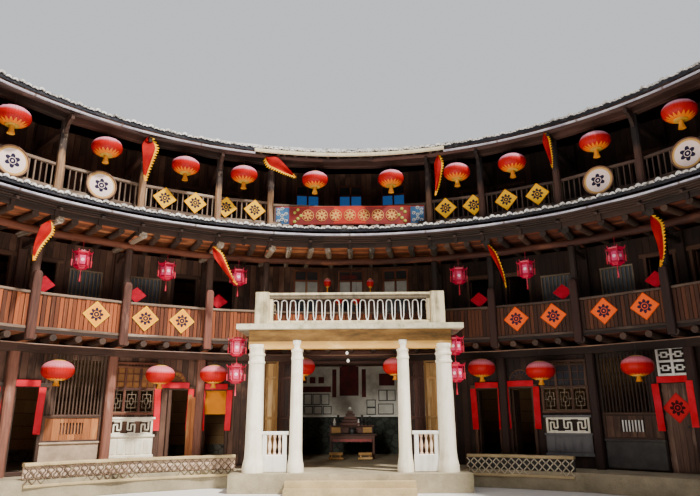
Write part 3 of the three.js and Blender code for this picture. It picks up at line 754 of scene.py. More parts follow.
def sheet_metal_finish():
    """Painted sheet gutter, lilac white with rust at the joints."""
    f = Finish("painted gutter", 0.45, Metallic=0.1)
    run = f.polar(EAVE_R)[0]
    joint = f.fold(run / 2.1)
    cloud = f.noise(f.place(), 3.0, 5)
    body = f.ramp(cloud, (0.35, "a9a5b6"), (0.6, "d6d4e0"))
    body = f.mix(f.fall(joint, 0.0, 0.02), body, "6e5a4c")
    return f.colour(body).bump(cloud, 0.1, 0.004)


def ochre_finish(ochre):
    """Ochre limewash, flaking and stained where water runs."""
    f = Finish("ochre limewash", 0.85)
    x, y, z = f.split(f.place())
    drift = f.noise(f.join(x * 1.4, y, z * 5), 1.0, 6, 0.65)
    fine = f.noise(f.place(), 30, 4)
    body = f.ramp(drift, (0.3, "b98a48"), (0.55, ochre), (0.75, "e8c88c"))
    band = f.ramp(drift, (0.35, "38280f"), (0.5, "6c4c22"), (0.7, "8f6c38"))
    share = f.math("GREATER_THAN", z, 3.53) * 0.92
    height = drift * 0.6 + fine * 0.3
    return f.colour(f.mix(share, body, band)).bump(height, 0.4, 0.008)


def lacquer_finish(name, colour, dark, roughness=0.45):
    """Painted wood, darker in its blotches."""
    f = Finish(name, roughness)
    cloud = f.noise(f.place(), 4.0, 5)
    return f.colour(f.ramp(cloud, (0.35, dark), (0.65, colour))).bump(cloud, 0.12, 0.004)


def paper_finish(name, colour, faded):
    """Pasted paper with creases and faded patches."""
    f = Finish(name, 0.8, Specular_IOR_Level=0.15)
    grain = f.grain()
    crease = f.noise(f.scaled(grain, (9, 9, 9)), 1.0, 5, 0.6)
    return f.colour(f.ramp(f.noise(grain, 2.2, 4), (0.35, colour), (0.72, faded))).bump(crease, 0.3, 0.004)


def motif_finish(name, ground, rim, ink, petals=8, square=True):
    """Sign ground with a plain rosette of petals and rings in its middle, and no lettering."""
    f = Finish(name, 0.7, Specular_IOR_Level=0.15)
    x, _, z = f.split(f.grain())
    away = f.math("SQRT", x * x + z * z)
    lobe = f.math("ABSOLUTE", f.math("COSINE", f.math("ARCTAN2", x, z) * (petals / 2)))
    petal = f.math("LESS_THAN", away, 0.29 + lobe * 0.22)
    ring = f.math("COMPARE", away, 0.22, 0.02)
    inked = petal * (1.0 - ring)
    inked = inked * (1.0 - f.math("LESS_THAN", away, 0.07))
    spread = f.math("ABSOLUTE", x) + f.math("ABSOLUTE", z) if square else away
    border = f.math("GREATER_THAN", spread, 0.9 if square else 0.84)
    cloud = f.noise(f.grain(), 3.0, 5)
    body = f.mix(border, f.mix(cloud * 0.35, ground, rim), rim)
    return f.colour(f.mix(inked, body, ink)).bump(cloud, 0.15, 0.004)


def lantern_finish(name, red, sky_highlight, gold, foot, rise):
    """Lantern silk on ribs: red, with a painted pale highlight on its upper part where it faces the sky, and gold
    points rising from its foot.
    """
    f = Finish(name, 0.5, Specular_IOR_Level=0.25)
    x, y, z = f.split(f.grain())
    angle = f.math("ARCTAN2", x, y) * (18 / pi)
    low = f.math("LESS_THAN", z, foot + f.math("PINGPONG", angle, 1.0) * rise)
    # Painted highlight: pale towards the top
    body = f.mix(f.rise(z, 0.08, 0.3) * 0.66, red, sky_highlight)
    rib = f.rise(f.math("PINGPONG", angle, 0.5), 0.0, 0.12)
    body = f.mix((1.0 - rib) * 0.4, body, "6d0f10")
    return f.colour(f.mix(low, body, gold)).bump(rib, 0.3, 0.01)


def glass_finish(name, tint, sky=0.0):
    """Old window glass; panes glow with a painted reflection of the sky, and lit bulbs glow with their own light."""
    f = Finish(name, 0.12, Emission_Color=tint, Emission_Strength=sky)
    cloud = f.noise(f.place(), 2.0, 3)
    return f.colour(f.mix(cloud, tint, "2a3440")).bump(cloud, 0.05, 0.002)


# Finishes that share a recipe: short name, full name, and the recipe's own colours and measures
# The last number is the glow: painted sky reflection on the panes, and the bulbs' own light on lit_glass
GLASSES = (
    ("amber", "amber window panes", "c9853c"),
    ("dark_glass", "dim window glass", "3a3531"),
    ("lit_glass", "lit bulbs", "fff4e0", 1.5),
    ("pale_glass", "pale window panes", "b8b2a4", 0.06),
    ("blue_glass", "blue window glass", "3f86e0", 0.22),
    ("grey_glass", "grey window glass", "6e767e"),
)
# Timbers with an eighth colour take it as painted shade on the far side of the court
TIMBERS = (
    ("vent", "vent board timber", "7a431f", "c27a44", "d39a64", 0.58),
    ("post", "dark post timber", "2a1a14", "5f4236", "755848", 0.62, 0.78, "8c8078"),
    ("ground_post", "ground post timber", "4c2c20", "94604e", "ae8070", 0.6, 0.78, "5c5250"),
    ("beam", "dark beam timber", "1e100c", "54342a", "66463a", 0.62),
    ("soffit", "skirt soffit planks", "1a0f0b", "3f2a21", "523a30", 0.62),
    ("slat", "window slats", "34241c", "705442", "8a7460", 0.57, 0.78, "746a64"),
    ("log", "reddish round timber", "2a1a16", "583a32", "6e524a", 0.58),
    ("joist", "pale joist ends", "5a4838", "a08c78", "cabcac", 0.5, 0.78, "4c4440"),
    ("dark_joist", "dark joists", "1c120e", "523a2c", "70523e", 0.6),
    ("ring_log", "gallery ring logs", "3a1c12", "86482e", "a06446", 0.58, 0.78, "a89890"),
    ("board", "weathered balcony boards", "240e06", "ac582a", "bc8258", 0.62, 0.82, "9098a4"),
    ("rail", "worn rail timber", "4c3a2e", "8c7462", "b09c88", 0.55, 0.82, "9a9090"),
    ("newel", "short balcony posts", "40241a", "844f40", "966858", 0.58, 0.82, "6a5c58"),
    ("frame", "window and door frames", "2b1c15", "5f4030", "7a5a44", 0.58),
    ("bar", "window bars", "5a4a3a", "8d7b66", "a99883", 0.5),
    ("orange_frame", "brown window frames", "40221a", "7c4630", "92603e", 0.55),
    ("tan_leaf", "tan hall door leaves", "8a6538", "d0a060", "dfba84", 0.55),
    ("leaf", "plank door timber", "443028", "7a5a4a", "927666", 0.56),
    ("bamboo", "bamboo", "54382a", "8c664c", "a4805e", 0.6, 0.5),
    ("table", "altar table timber", "2c140c", "5c2e1c", "744630", 0.6, 0.6),
    ("tassel", "gold tassels", "b06a04", "f09a08", "ffbc30", 0.55, 0.6),
    ("red_tassel", "red tassels", "8f0f22", "d02040", "e05068", 0.5, 0.6),
)
STONES = (
    ("brick", "pinkish coursed bricks", "7d6a58", "d0b69c", 0.1, 2.0),
    ("stone", "terrace stone", "746a56", "b8aa8c", 0.5),
    ("step", "step stone", "8f7d5c", "d8bf90", 0.2),
    ("plinth", "brown openwork stone", "382a20", "806850", 0.5, 2.0),
    ("pink_stone", "pinkish terrace stone", "b08c74", "f0d8c0", 0.1, 1.5),
    ("openwork", "openwork stone", "a3967c", "f6ead0", 0.2, 2.0),
    ("slab", "mossy slab cement", "8c8468", "e6dcc0", 0.75, 1.4),
    ("dark_stone", "shaded dark stone", "2c2a2c", "55524f", 0.1, 1.5),
)
PAINTS = (
    ("flower", "yellow-green board flowers", "b9b447", "8c8a35", 0.5),
    ("dim_gold", "faded gold board rosettes", "e8b060", "c88838", 0.5),
    ("mid_red", "orange-red board middle", "c42a08", "a01c0a", 0.55),
    ("red", "red lacquer", "9a120f", "6d0c0a"),
    ("maroon", "maroon cloth panel", "5f1518", "41100f", 0.8),
    ("gold", "gold paint", "e3b64c", "b98a2c", 0.4),
    ("pale_pink", "palace lantern centres", "f3d3d9", "e9a9b8", 0.4),
    ("palace", "palace lantern red", "cc0840", "96062e", 0.35),
    ("pink", "palace lantern panels", "dc5080", "bc2458", 0.4),
    ("teal", "blue board ends", "3f74a0", "27507c", 0.5),
    ("sign_red", "faded board red", "8e1e18", "741410", 0.6),
    ("iron", "black iron", "2c2a2a", "1c1a1a", 0.5),
)
CEMENTS = (
    ("eave_cream", "cream eave gutter", "e6d9b8", "b39a6c", 0.5),
    ("column", "cream column cement", "fff8e4", "b8a57a", 0.5),
    ("white", "white painted cement", "f2efe8", "a8a498", 0.5),
    ("stained", "stained parapet rail", "6a5e4c", "3a3228", 0.9),
    ("parapet", "parapet cement", "e2d2ac", "74694a", 0.85),
    ("baluster", "orange-white balusters", "f0d9c0", "c4703c", 0.8),
    ("grey_cement", "shaded grey cement", "6f6e70", "4a494b", 0.6),
)
TILES = (
    ("tile", "grey roof tile", "38383a", "57575a", "7b7a7c", "9a978f"),
    ("lap", "dark tile lips", "121218", "22232c", "3a3a44", "4c4a4c"),
)
PAPERS = (
    ("paper", "red paper strips", "c4081c", "dc2c40"),
    ("dark_paper", "dark red paper", "8c0016", "a80c2a"),
    ("amber_paper", "amber paper panel", "e08a14", "c96f0e"),
    ("flag", "pennant cloth", "900206", "b4180a"),
    ("flag_edge", "pennant fringe", "f0a000", "f8bc20"),
    ("picture", "framed plain papers", "b9b6ac", "d8d6ce"),
)
SIGNS = (
    ("yellow_sign", "yellow diamond signs", "ffc60c", "ffae00", "2a2038"),
    ("amber_sign", "amber diamond signs", "ff9c00", "ffc020", "2a2038"),
    ("orange_sign", "orange diamond signs", "ff6618", "ee5410", "241c38"),
    ("red_sign", "red door diamond", "de2630", "c01c26", "3a0c10"),
    ("disc", "painted tray discs", "ffe8e4", "d8a860", "241f38", 6, False),
)


def make_finishes(colours):
    """All the finishes of the house, by short name."""
    lacquer, limewash, plaster = [(*colour, 1.0) for colour in (colours.lacquer, colours.limewash, colours.plaster)]
    finishes = {
        "post_3": post_3_finish(),
        "wall": board_wall_finish(),
        "floor": floor_finish(),
        "sarking": sarking_finish(),
        "earth": earth_finish(),
        "ochre": ochre_finish(limewash),
        "hall": hall_wall_finish(plaster),
        "mortar": mortar_finish(),
        "gutter": sheet_metal_finish(),
        # The pale colour after the lacquer is each lantern's painted highlight
        "lantern": lantern_finish("top lantern silk", lacquer, "eab0c8", "ee7c00", -0.58, 0.2),
        "low_lantern": lantern_finish("low lantern silk", lacquer, "e890a0", "f08a00", -0.61, 0.07),
    }
    for recipe, table in (
            (timber_finish, TIMBERS), (stone_finish, STONES), (cement_finish, CEMENTS), (lacquer_finish, PAINTS),
            (paper_finish, PAPERS), (glass_finish, GLASSES), (motif_finish, SIGNS), (tile_finish, TILES)):
        finishes.update({key: recipe(*values) for key, *values in table})
    return finishes


def block(*size):
    """One squared timber about its own origin, for Geometry Nodes to repeat."""
    shape = Shape(toned=False)
    shape.timber(None, *size)
    return shape


def joist_count(low, high):
    """Joists between two posts: more under the wide hall bay, fewer in the narrow ones."""
    return 7 if high - low > 20 else 2 if high - low < 10 else 3


def ring_beam(shape, r, z, *size, more=0.0):
    """A beam in straight lengths from station to station."""
    for low, high in spans():
        place, length = chord(r, low, high, z)
        shape.timber(place, length + more, *size, 0.012, 0.003, 3)


def ring_log(shape, r, z, radius, more, *how):
    """A round log in straight lengths from station to station."""
    for low, high in spans():
        place, length = chord(r, low, high, z)
        shape.log(place, length + more, radius, *how)


def tile_row(bottom, top, height, courses, count):
    """One row of lapped pan and cover tiles between two radii, as wide as its share of the round."""
    shape = Shape(2, toned=False)
    half = pi / count
    sections = []
    for i in range(courses):
        for end, lift in ((i, 0.02), (i + 1, 0.0)):
            r = bottom + (top - bottom) * end / courses
            rise = 0.19 * r * half + 0.012
            ring = []
            for u in (-1, -0.6, -0.34, 0, 0.34, 0.6, 1):
                wave = cos(pi * u)
                z = height(r) + rise * (0.55 + (wave if wave > 0 else 0.5 * wave)) + lift
                ring.append((r * sin(half * u), r * cos(half * u), z))
            sections.append(ring + [(0, r, height(r) + 0.002)])
    shape.loft(sections)
    return shape


def tile_ends(r, z, count, cap, lip):
    """Thin limed rims of six cover tiles' ends, uneven in height, and the pan tile lips between them with a plate
    behind, near-black as painted shade under the ends.
    """
    ends, lips = Shape(4, toned=False), Shape(4, toned=False)
    pitch = 2 * pi * r / count
    w = pitch * 0.47
    bow = arc(1, 6, points=7, sweep=pi)
    for i in range(6):
        high = cap * ends.dice.uniform(0.8, 1.3)
        place = at(r, i * 360 / count, z + cap * ends.dice.uniform(-0.25, 0.25))
        ends.prism(place, [(w * x, high * y) for x, y in bow] + [(-w * 0.45 * x, high * 0.3 * y) for x, y in bow], 0.05)
        # Lips and plate are near-black: painted shade under the tile ends
        place = at(r + 0.02, i * 360 / count, z)
        lips.prism(place, [(pitch * (0.5 + 0.4 * x), cap * 0.3 - lip * y) for x, y in bow], 0.03)
        side = pitch / 2
        lips.prism(place, [(-side, -lip), (side, -lip), (side, cap * 0.7), (-side, cap * 0.7)], 0.02)
    return ends, lips


def roof_top(r):
    """Height of the tiles' bed on the saddle roof at a radius."""
    return roof_under(r) + SLAB


def skirt_top(r):
    """Height of the tiles' bed on the skirt eave at a radius."""
    return SKIRT_TOP + (r - SKIRT_R) * SKIRT_SLOPE


def build_roofs(sizes):
    """Tile rows, limed tile ends, ridge, gutters, rafters and the logs under the eaves."""
    slopes = [f"roof_{slope}_slope_{side}" for slope in ("inner", "outer") for side in ("hall_side", "gate_side")]
    wear("sarking", "skirt_eave", *slopes)
    wear("mortar", "roof_ridge")
    count = round(2 * pi * EAVE_R / sizes.tile_pitch / 6) * 6
    outer = round(2 * pi * OUTER_R / (sizes.tile_pitch * 1.5) / 12) * 12
    rows("tiles_inner_slope", tile_row(8.885, RIDGE_R - 0.1, roof_top, 13, count), count, "tile")
    half = tile_row(OUTER_R - 0.03, RIDGE_R + 0.1, roof_top, 14, outer)
    for side, first in (("hall_side", pi / 2), ("gate_side", -pi / 2)):
        rows(f"tiles_outer_slope_{side}", half, outer // 2, "tile", first, 2 * pi / outer, 8)
    rows("tiles_skirt", tile_row(8.925, SKIRT_BACK_R - 0.02, skirt_top, 2, count), count, "tile")
    for name, r, z, cap, lip, many in (
            ("top_eave", 8.865, roof_top(EAVE_R) - 0.01, 0.058, 0.085, count),
            ("skirt", 8.915, 6.75, 0.06, 0.08, count),
            ("outer_eave", OUTER_R - 0.02, roof_top(OUTER_R - 0.03) - 0.03, 0.05, 0.06, outer)):
        ends, lips = tile_ends(r, z, many, cap, lip)
        rows(f"tile_ends_{name}", ends, many // 6, "mortar")
        rows(f"pan_tile_lips_{name}", lips, many // 6, "lap")
    ridge, tiles = Shape(6), 84
    for i in range(tiles):
        place = at(RIDGE_R, 360 * i / tiles, 11.225 + 0.006 * (i % 2))
        ridge.timber(place, 2 * pi * RIDGE_R / tiles - 0.02, 0.09, 0.34, 0.03)
    ridge.piece("ridge_tiles", "tile", "roof_tile")
    gutters = Shape(7)
    for r, z, deep, first, last, steps in (
            (8.87, 8.885, 0.045, 17.4, 342.6, 200), (8.87, 9.01, 0.105, -17.5, 17.5, 24),
            (8.92, 6.585, 0.052, 0, 360, 224)):
        gutters.slot = 1 if first < 0 else 0
        gutters.turned([
            (r, z), (r - 0.03, z), (r - 0.042, z - deep * 0.3), (r - 0.036, z - deep * 0.85), (r - 0.022, z - deep),
            (r, z - deep), (r, z - deep + 0.008), (r - 0.02, z - deep + 0.01), (r - 0.028, z - deep * 0.3),
        ], steps, first, last)
    gutters.piece("eave_gutters", "gutter eave_cream", "lime_plaster")
    logs = Shape(8)
    ring_log(logs, 9.03, 8.86, 0.065, 0.12, 0.9, 10, 4, 0.012)
    logs.piece("eave_logs", "log")
    marks = Marks(9)
    for low, high in BAYS:
        for b in [low + 0.9] + between(low, high, round((high - low) / 2) - 1):
            for inner, end, pitch in ((8.93, 11.12, -PITCH), (16.45, 18.2, PITCH)):
                middle = (inner + end) / 2
                place = at(middle, b, roof_under(middle) - 0.03) @ OUTWARD @ turn(pitch, "Y")
                marks.add(place, ((end - inner) / cos(radians(PITCH)), 1, 1))
    repeat("rafters", block(1.0, 0.05, 0.075, 0.006), marks, "dark_joist")


def build_posts():
    """Posts of the three storeys with the beams that they carry, their brackets and wall posts."""
    sides = ("front_right", "rear_right", "rear_left", "front_left")
    for seed, name, finishes, r, z, post, steps, beam_z, beam in (
            (11, "ground", "ground_post post", GROUND_POST_R, 1.82, (2.8, 0.22, 0.22), 5, 3.32, (0.2, 0.22)),
            (12, "level_2", "post ring_log", POST_2_R, 4.815, (2.29, 0.17, 0.19), 5, 6.06, None),
            (13, "level_3", "post_3 beam", POST_3_R, 7.6, (2.3, 0.165, 0.16), 6, 8.86, (0.22, 0.18))):
        shape = Shape(seed)
        for b in POSTS:
            shape.timber(at(r, b, z) @ UPRIGHT, *post, 0.035, 0.006, steps)
        shape.slot = 1
        if beam:
            ring_beam(shape, r, beam_z, *beam)
        else:
            ring_log(shape, r, beam_z, 0.1, 0.06, 0.94, 12, 4, 0.01)
        shape.piece(f"{name}_posts_worn", finishes, replaces=[f"{name}_posts_{side}" for side in sides])
    back = Shape(14)
    for b in POSTS:
        for floor, top in ((FLOOR_2, 6.1), (FLOOR_3, 9.2)):
            place = at(11.08, b, (floor + top) / 2 + 0.02) @ UPRIGHT
            back.timber(place, top - floor - 0.02, 0.2, 0.13, 0.015, 0.004, 3)
        for r, z, *size in ((10.25, 8.52, 1.75, 0.16, 0.12), (10.6, 5.86, 1.1, 0.14, 0.11)):
            back.timber(at(r, b, z) @ OUTWARD, *size, 0.015, 0.004, 3)
    back.piece("wall_posts_and_ties", "post")
    arms = Shape(15)
    arm = [(0, -0.24), (0.03, -0.24), (0.05, -0.16), (0.1, -0.12), (0.11, -0.06), (0.18, -0.03), (0.24, 0.02),
           (0.33, 0.03), (0.35, 0.08), (0.35, 0.14), (0.0, 0.14)]
    for b in POSTS:
        arms.prism(at(9.27, b, 8.64) @ turn(-90, "Z"), arm, 0.08)
    arms.piece("carved_post_brackets", "post")


def build_joists():
    """Round joists under both galleries, the band under the skirt and the bamboo pole."""
    log = Shape(16, toned=False)
    log.log(None, 1.0, 0.5, 0.86, 10, 3, 0.02)
    stout, third, second = Marks(16), Marks(17), Marks(18)
    for low, high in BAYS:
        stout.add(along(10.19, low, 6.19) @ OUTWARD, (2.04, 0.2, 0.2))
        steps = between(low, high, joist_count(low, high))
        for b in steps:
            (stout if high - low > 20 else third).add(along(10.215, b, 6.2) @ OUTWARD, (1.99, 0.165, 0.165))
        for b in [low] + steps:
            second.add(along(10.45, b, 3.505) @ OUTWARD, (1.36, 0.16, 0.16))
    repeat("level_3_post_joists", log, stout, "joist")
    repeat("level_3_joists", log, third, "dark_joist")
    repeat("level_2_joists", log, second, "dark_joist")
    band = Shape(19)
    for r, z, *size in ((9.21, 6.33, 0.14, 0.07), (9.17, 6.41, 0.04, 0.1), (9.1, 6.445, 0.035, 0.11),
                        (9.03, 6.475, 0.035, 0.11), (8.96, 6.505, 0.03, 0.11)):
        ring_beam(band, r, z, *size, more=0.02)
    for low, high in BAYS:
        for b in [low] + between(low, high, 1 if high - low < 20 else 3):
            band.timber(along(9.06, b, 6.405) @ OUTWARD @ turn(-28, "Y") @ move(z=0.02), 0.32, 0.05, 0.07, 0.008)
            band.timber(along(9.16, b, 6.3) @ UPRIGHT, 0.16, 0.09, 0.06, 0.008)
    band.piece("skirt_edge_timbers", "soffit")
    boards = Shape(190)
    boards.turned([(9.26, 6.29), (11.14, 6.29), (11.14, 6.372), (9.26, 6.372)])
    boards.piece("joist_boards_level_3", "floor")
    wear("floor", "level_2_floor", "level_3_floor")
    pole = Shape(20)
    ring_log(pole, 9.8, 3.34, 0.014, 0.1, 0.85, 8, 3, 0.005)
    pole.piece("bamboo_pole", "bamboo")


def build_balcony(sizes):
    """Upright boards of the first balcony, its worn rails and the stout short posts in front."""
    marks = Marks(22)
    for low, high in spans():
        place, length = chord(BOARDS_R, low, high, BOARDS_Z)
        count = round(length / sizes.board_width)
        for i in range(count):
            spot = place @ move(length * ((i + 0.5) / count - 0.5), marks.dice.uniform(-0.014, 0.014)) @ UPRIGHT
            marks.add(spot, (1 + marks.dice.uniform(-0.015, 0.015), 1, length / count - BOARD_GAP))
    repeat("balcony_boards", block(0.80, 1.0, 0.03, 0.0), marks, "board", "weathered_board",
           replaces=["level_2_balcony"])
    rails = Shape(23)
    ring_beam(rails, 9.868, 4.53, 0.06, 0.065, more=0.02)
    ring_beam(rails, 9.858, 3.71, 0.07, 0.04, more=0.02)
    rails.slot = 1
    for low, high in spans():
        rails.timber(*chord(BOARDS_R + 0.036, low, high, BOARDS_Z), 0.76, 0.012, 0.0)
    rails.piece("balcony_rails", "rail dark_joist", "weathered_board")
    posts = Shape(24)
    for b in POSTS:
        sections = []
        for z, s in ((3.45, 0.9), (3.52, 1), (3.9, 1), (4.3, 0.97), (4.7, 1), (4.95, 0.98), (5.01, 0.86), (5.045, 0.6)):
            w, d = 0.1 * s, 0.085 * s
            ring = [(w, d - .02), (w - .02, d), (-w + .02, d), (-w, d - .02), (-w, -d + .02), (-w + .02, -d),
                    (w - .02, -d), (w, -d + .02)]
            sections.append([(z - 4.25, y + posts.dice.uniform(-.003, .003), x) for x, y in ring])
        posts.loft(sections, at(9.812, b, 4.25) @ UPRIGHT)
    posts.piece("balcony_short_posts", "newel", "weathered_board")


def build_railing(sizes):
    """Rails and thin balusters of the top gallery, and the flat bricks along its foot."""
    rails = Shape(25)
    for low, high in BAYS:
        hall = high - low > 20
        stops = [low, -HALL_HALF / 3, HALL_HALF / 3, high] if hall else [low, high]
        for ends in zip(stops, stops[1:]):
            for z, gap, deep in ((7.55 if hall else 7.605, 0.02 if hall else 0.16, 0.07), (6.99, 0.02, 0.11)):
                place, length = chord(RAIL_R, *ends, z)
                rails.timber(place, length - gap, deep, 0.08, 0.01, 0.003, 3)
    rails.piece("top_gallery_rails", "rail", "weathered_board", replaces=["level_3_railing"])
    marks = Marks(27)
    for low, high in BAYS:
        for b in between(low, high, round(2 * pi * 9.4 * (high - low) / 360 / sizes.baluster_pitch)):
            marks.add(along(RAIL_R, b, 7.3) @ UPRIGHT, (1, 1, marks.dice.uniform(0.8, 1.2)))
    repeat("top_gallery_balusters", block(0.56, 0.03, 0.03, 0.004), marks, "rail", "weathered_board")
    marks, count = Marks(29), 160
    for i in range(count):
        place = at(9.25, i * 360 / count, 6.905 + marks.dice.uniform(-0.008, 0.008))
        marks.add(place @ turn(marks.dice.uniform(-6, 6), "Z"), (marks.dice.uniform(0.8, 1.2), 1, 1))
    repeat("bricks_at_railing_foot", block(0.2, 0.04, 0.1, 0.008), marks, "brick", "lime_plaster")


def opening(index, level, kind):
    """Bearings of a door or window hole in a bay, as cut in the walls."""
    first = FIRST_BAY + index * BAY
    low, high = {("door", 1): (0.75, 4.2), ("window", 1): (5.6, 11.7), ("door", 2): (1.0, 4.6),
                 ("window", 2): (6.2, 10.6)}[(kind, min(level, 2))]
    return (first + low, first + high) if index % 2 == 0 else (first + BAY - high, first + BAY - low)


def window_unit(width, height, bars):
    """Frame with upright bars, standing in local X and Z and centred."""
    shape = Shape(30, toned=False)
    shape.posts(move(), (-width / 2, width / 2), height + 0.12, 0.07, 0.07, 0.008)
    shape.rails(move(), (-height / 2, height / 2), width + 0.12, 0.08, 0.09, 0.008)
    shape.posts(move(), between(-width / 2, width / 2, bars), height, 0.03, 0.03, 0.0, y=0.005)
    return shape


def door_frame_unit(width, height):
    """Posts, head, threshold and a leaf that stands open inside."""
    shape = Shape(31, toned=False)
    shape.posts(move(), (-width / 2, width / 2), height, 0.08, 0.14, 0.01, z=height / 2)
    shape.timber(move(z=height + 0.03), width + 0.24, 0.11, 0.15, 0.01)
    shape.timber(move(z=0.05), width, 0.1, 0.12, 0.01)
    for i in range(4):
        plank = move(-width / 2 + 0.07, 0.17 + i * width / 4.3, height / 2) @ UPRIGHT
        shape.timber(plank, height - 0.1, 0.035, width / 4.4, 0.004)
    return shape


def build_rooms():
    """Frames, bars, panes and door leaves of the rooms, on all three storeys."""
    wear("wall", "wall_over_plank_door", *(node for node in NODES if node.startswith("room_wall")))
    upper_windows, upper_doors, panes, slats = Marks(33), Marks(35), Marks(36), Marks(360)
    windows = {1: Marks(32), 2: upper_windows, 3: upper_windows}
    doors = {1: Marks(34), 2: upper_doors, 3: upper_doors}
    for side in (1, -1):
        for i in range(12):
            for level, floor, r in ((1, TERRACE_TOP, 10.76), (2, FLOOR_2, ROOM_R), (3, FLOOR_3, ROOM_R)):
                b = side * sum(opening(i, level, "window")) / 2
                z = 2.44 if level == 1 else floor + 1.375
                if level == 1 and i == 1:
                    slats.add(along(r - 0.05, side * 40.0, 2.53))
                elif level != 1 or i > 1:
                    windows[level].add(along(r, b, z))
                if level == 2:
                    panes.add(along(r + 0.03, b, z))
                if (level, i, side) != (1, 1, 1):
                    b = side * sum(opening(i, level, "door")) / 2
                    doors[level].add(along(r - (0.03 if level == 1 else 0.0), b, floor))
        for level, floor, r, b in ((1, TERRACE_TOP, 10.73, 20.525), (2, FLOOR_2, ROOM_R, 20.2),
                                    (3, FLOOR_3, ROOM_R, 20.2)):
            doors[level].add(along(r, side * b, floor))
    for name, unit, marks, finish in (
            ("ground_windows", window_unit(1.14, 1.32, 12), windows[1], "frame"),
            ("slatted_windows", window_unit(1.36, 1.6, 15), slats, "slat"),
            ("upper_windows", window_unit(0.84, 0.95, 7), windows[2], "bar"),
            ("ground_door_frames", door_frame_unit(0.65, 2.01), doors[1], "frame"),
            ("upper_door_frames", door_frame_unit(0.70, 1.96), doors[2], "frame"),
            ("level_2_panes", block(0.8, 0.9, 0.006, 0.0), panes, "grey_glass")):
        repeat(name, unit, marks, finish)
    hall = Shape(38)
    for middle, rise, glass in ((8.15, 0.17, 1), (5.35, 0.16, 3)):
        for b in (-7.1, 0, 7.1):
            place = along(11.17, b, middle)
            hall.slot = 0
            hall.posts(place, (-0.37, 0.0, 0.37), 1.42, 0.06, 0.1, 0.008)
            hall.rails(place, (-0.7, rise - 0.22, rise + 0.22, 0.7), 0.8, 0.06, 0.1, 0.008)
            for x in (-0.185, 0.185):
                hall.slot = glass
                hall.timber(place @ move(x, -0.01, rise), 0.33, 0.4, 0.008, 0.0)
                hall.slot = 2
                for low, top in ((-0.67, rise - 0.25), (rise + 0.25, 0.67)):
                    hall.timber(place @ move(x, -0.01, (low + top) / 2), 0.33, top - low, 0.008, 0.0)
    hall.piece("hall_bay_windows", "orange_frame blue_glass dark_glass pale_glass")


def fret(shape, place, wide, high, bar, thick):
    """Square key-fret lattice in a frame, standing in local X and Z and centred."""
    shape.posts(place, (-wide / 2, wide / 2), high + bar, bar * 1.4, thick, 0.004)
    shape.rails(place, (-high / 2, high / 2), wide + bar, bar * 1.4, thick, 0.004)
    cells = max(2, round(wide / 0.3))
    step = wide / cells
    for i in range(cells):
        x = step * (i + 0.5) - wide / 2
        flip = 1 if i % 2 else -1
        for dx, dz, w, h in ((-0.26, 0.12, 0, 0.66), (0.26, -0.12, 0, 0.66), (-0.02, 0.42, 0.5, 0),
                             (0.02, -0.42, 0.5, 0), (0.0, 0.0, 0, 0.42), (0.12, 0.2, 0.26, 0), (-0.12, -0.2, 0.26, 0)):
            spot = place @ move(x=x + dx * step * flip, z=dz * high)
            shape.timber(spot @ UPRIGHT if h else spot, h * high or w * step, bar, thick * 0.8, 0.0)


def lattice_window(shape, place, wood, glass):
    """Three lights: a row of short bars on top, crossed bars before the glass, and pale nested squares below."""
    lights = (-0.375, 0.0, 0.375)
    shape.slot = wood
    shape.posts(place, (-0.56, -0.19, 0.19, 0.56), 1.32, 0.06, 0.07, 0.006, z=2.44)
    shape.rails(place, (1.80, 2.42, 2.98, 3.08), 1.2, 0.06, 0.08, 0.006)
    shape.posts(place, [-0.54 + i * 0.083 for i in range(14)], 0.1, 0.02, 0.03, 0.0, z=3.03)
    for x in lights:
        shape.rails(place, (2.6, 2.8), 0.34, 0.02, 0.03, 0.0, x=x)
        shape.posts(place, (x,), 0.5, 0.02, 0.03, 0.0, z=2.7)
        shape.slot = glass
        shape.timber(place @ move(x, 0.02, 2.7), 0.33, 0.53, 0.006, 0.0)
        shape.slot = wood
    shape.slot = 1
    for x in lights:
        for w, h in ((0.32, 0.54), (0.2, 0.34), (0.08, 0.14)):
            for s in SIDES:
                shape.posts(place, (x + s * w / 2,), h, 0.014, 0.025, 0.0, z=2.11)
                shape.rails(place, (2.11 + s * h / 2,), w + 0.014, 0.014, 0.025, 0.0, x=x)
        for s in SIDES:
            shape.rails(place, (2.11,), 0.12, 0.014, 0.02, 0.0, x=x + s * 0.1)
            shape.posts(place, (x,), 0.2, 0.014, 0.02, 0.0, z=2.11 + s * 0.17)


def vent_panel(shape, place, boards, bars, wall):
    """Boards with slots and upright bars between two rails, over a plastered slab."""
    shape.slot = boards
    for i in range(-3, 4):
        if abs(i) < 2:
            for z in (-0.2, 0.2):
                shape.posts(place, (i * 0.18,), 0.13, 0.176, 0.035, 0.004, z=z)
        else:
            shape.posts(place, (i * 0.18,), 0.54, 0.176, 0.035, 0.004)
    shape.slot = 2
    shape.rails(place, (-0.29, 0.29), 1.34, 0.045, 0.07, 0.008, y=-0.01)
    shape.posts(place, (-0.66, 0.66), 0.6, 0.07, 0.07, 0.008, y=-0.01)
    shape.slot = bars
    shape.posts(place, [i * 0.075 for i in range(-3, 4)], 0.27, 0.03, 0.03, 0.004, y=-0.01)
    shape.slot = wall
    shape.timber(place @ move(z=-0.66, y=0.01), 1.36, 0.66, 0.06, 0.012)
    shape.timber(place @ move(z=-0.335, y=-0.01), 1.4, 0.05, 0.09, 0.012)


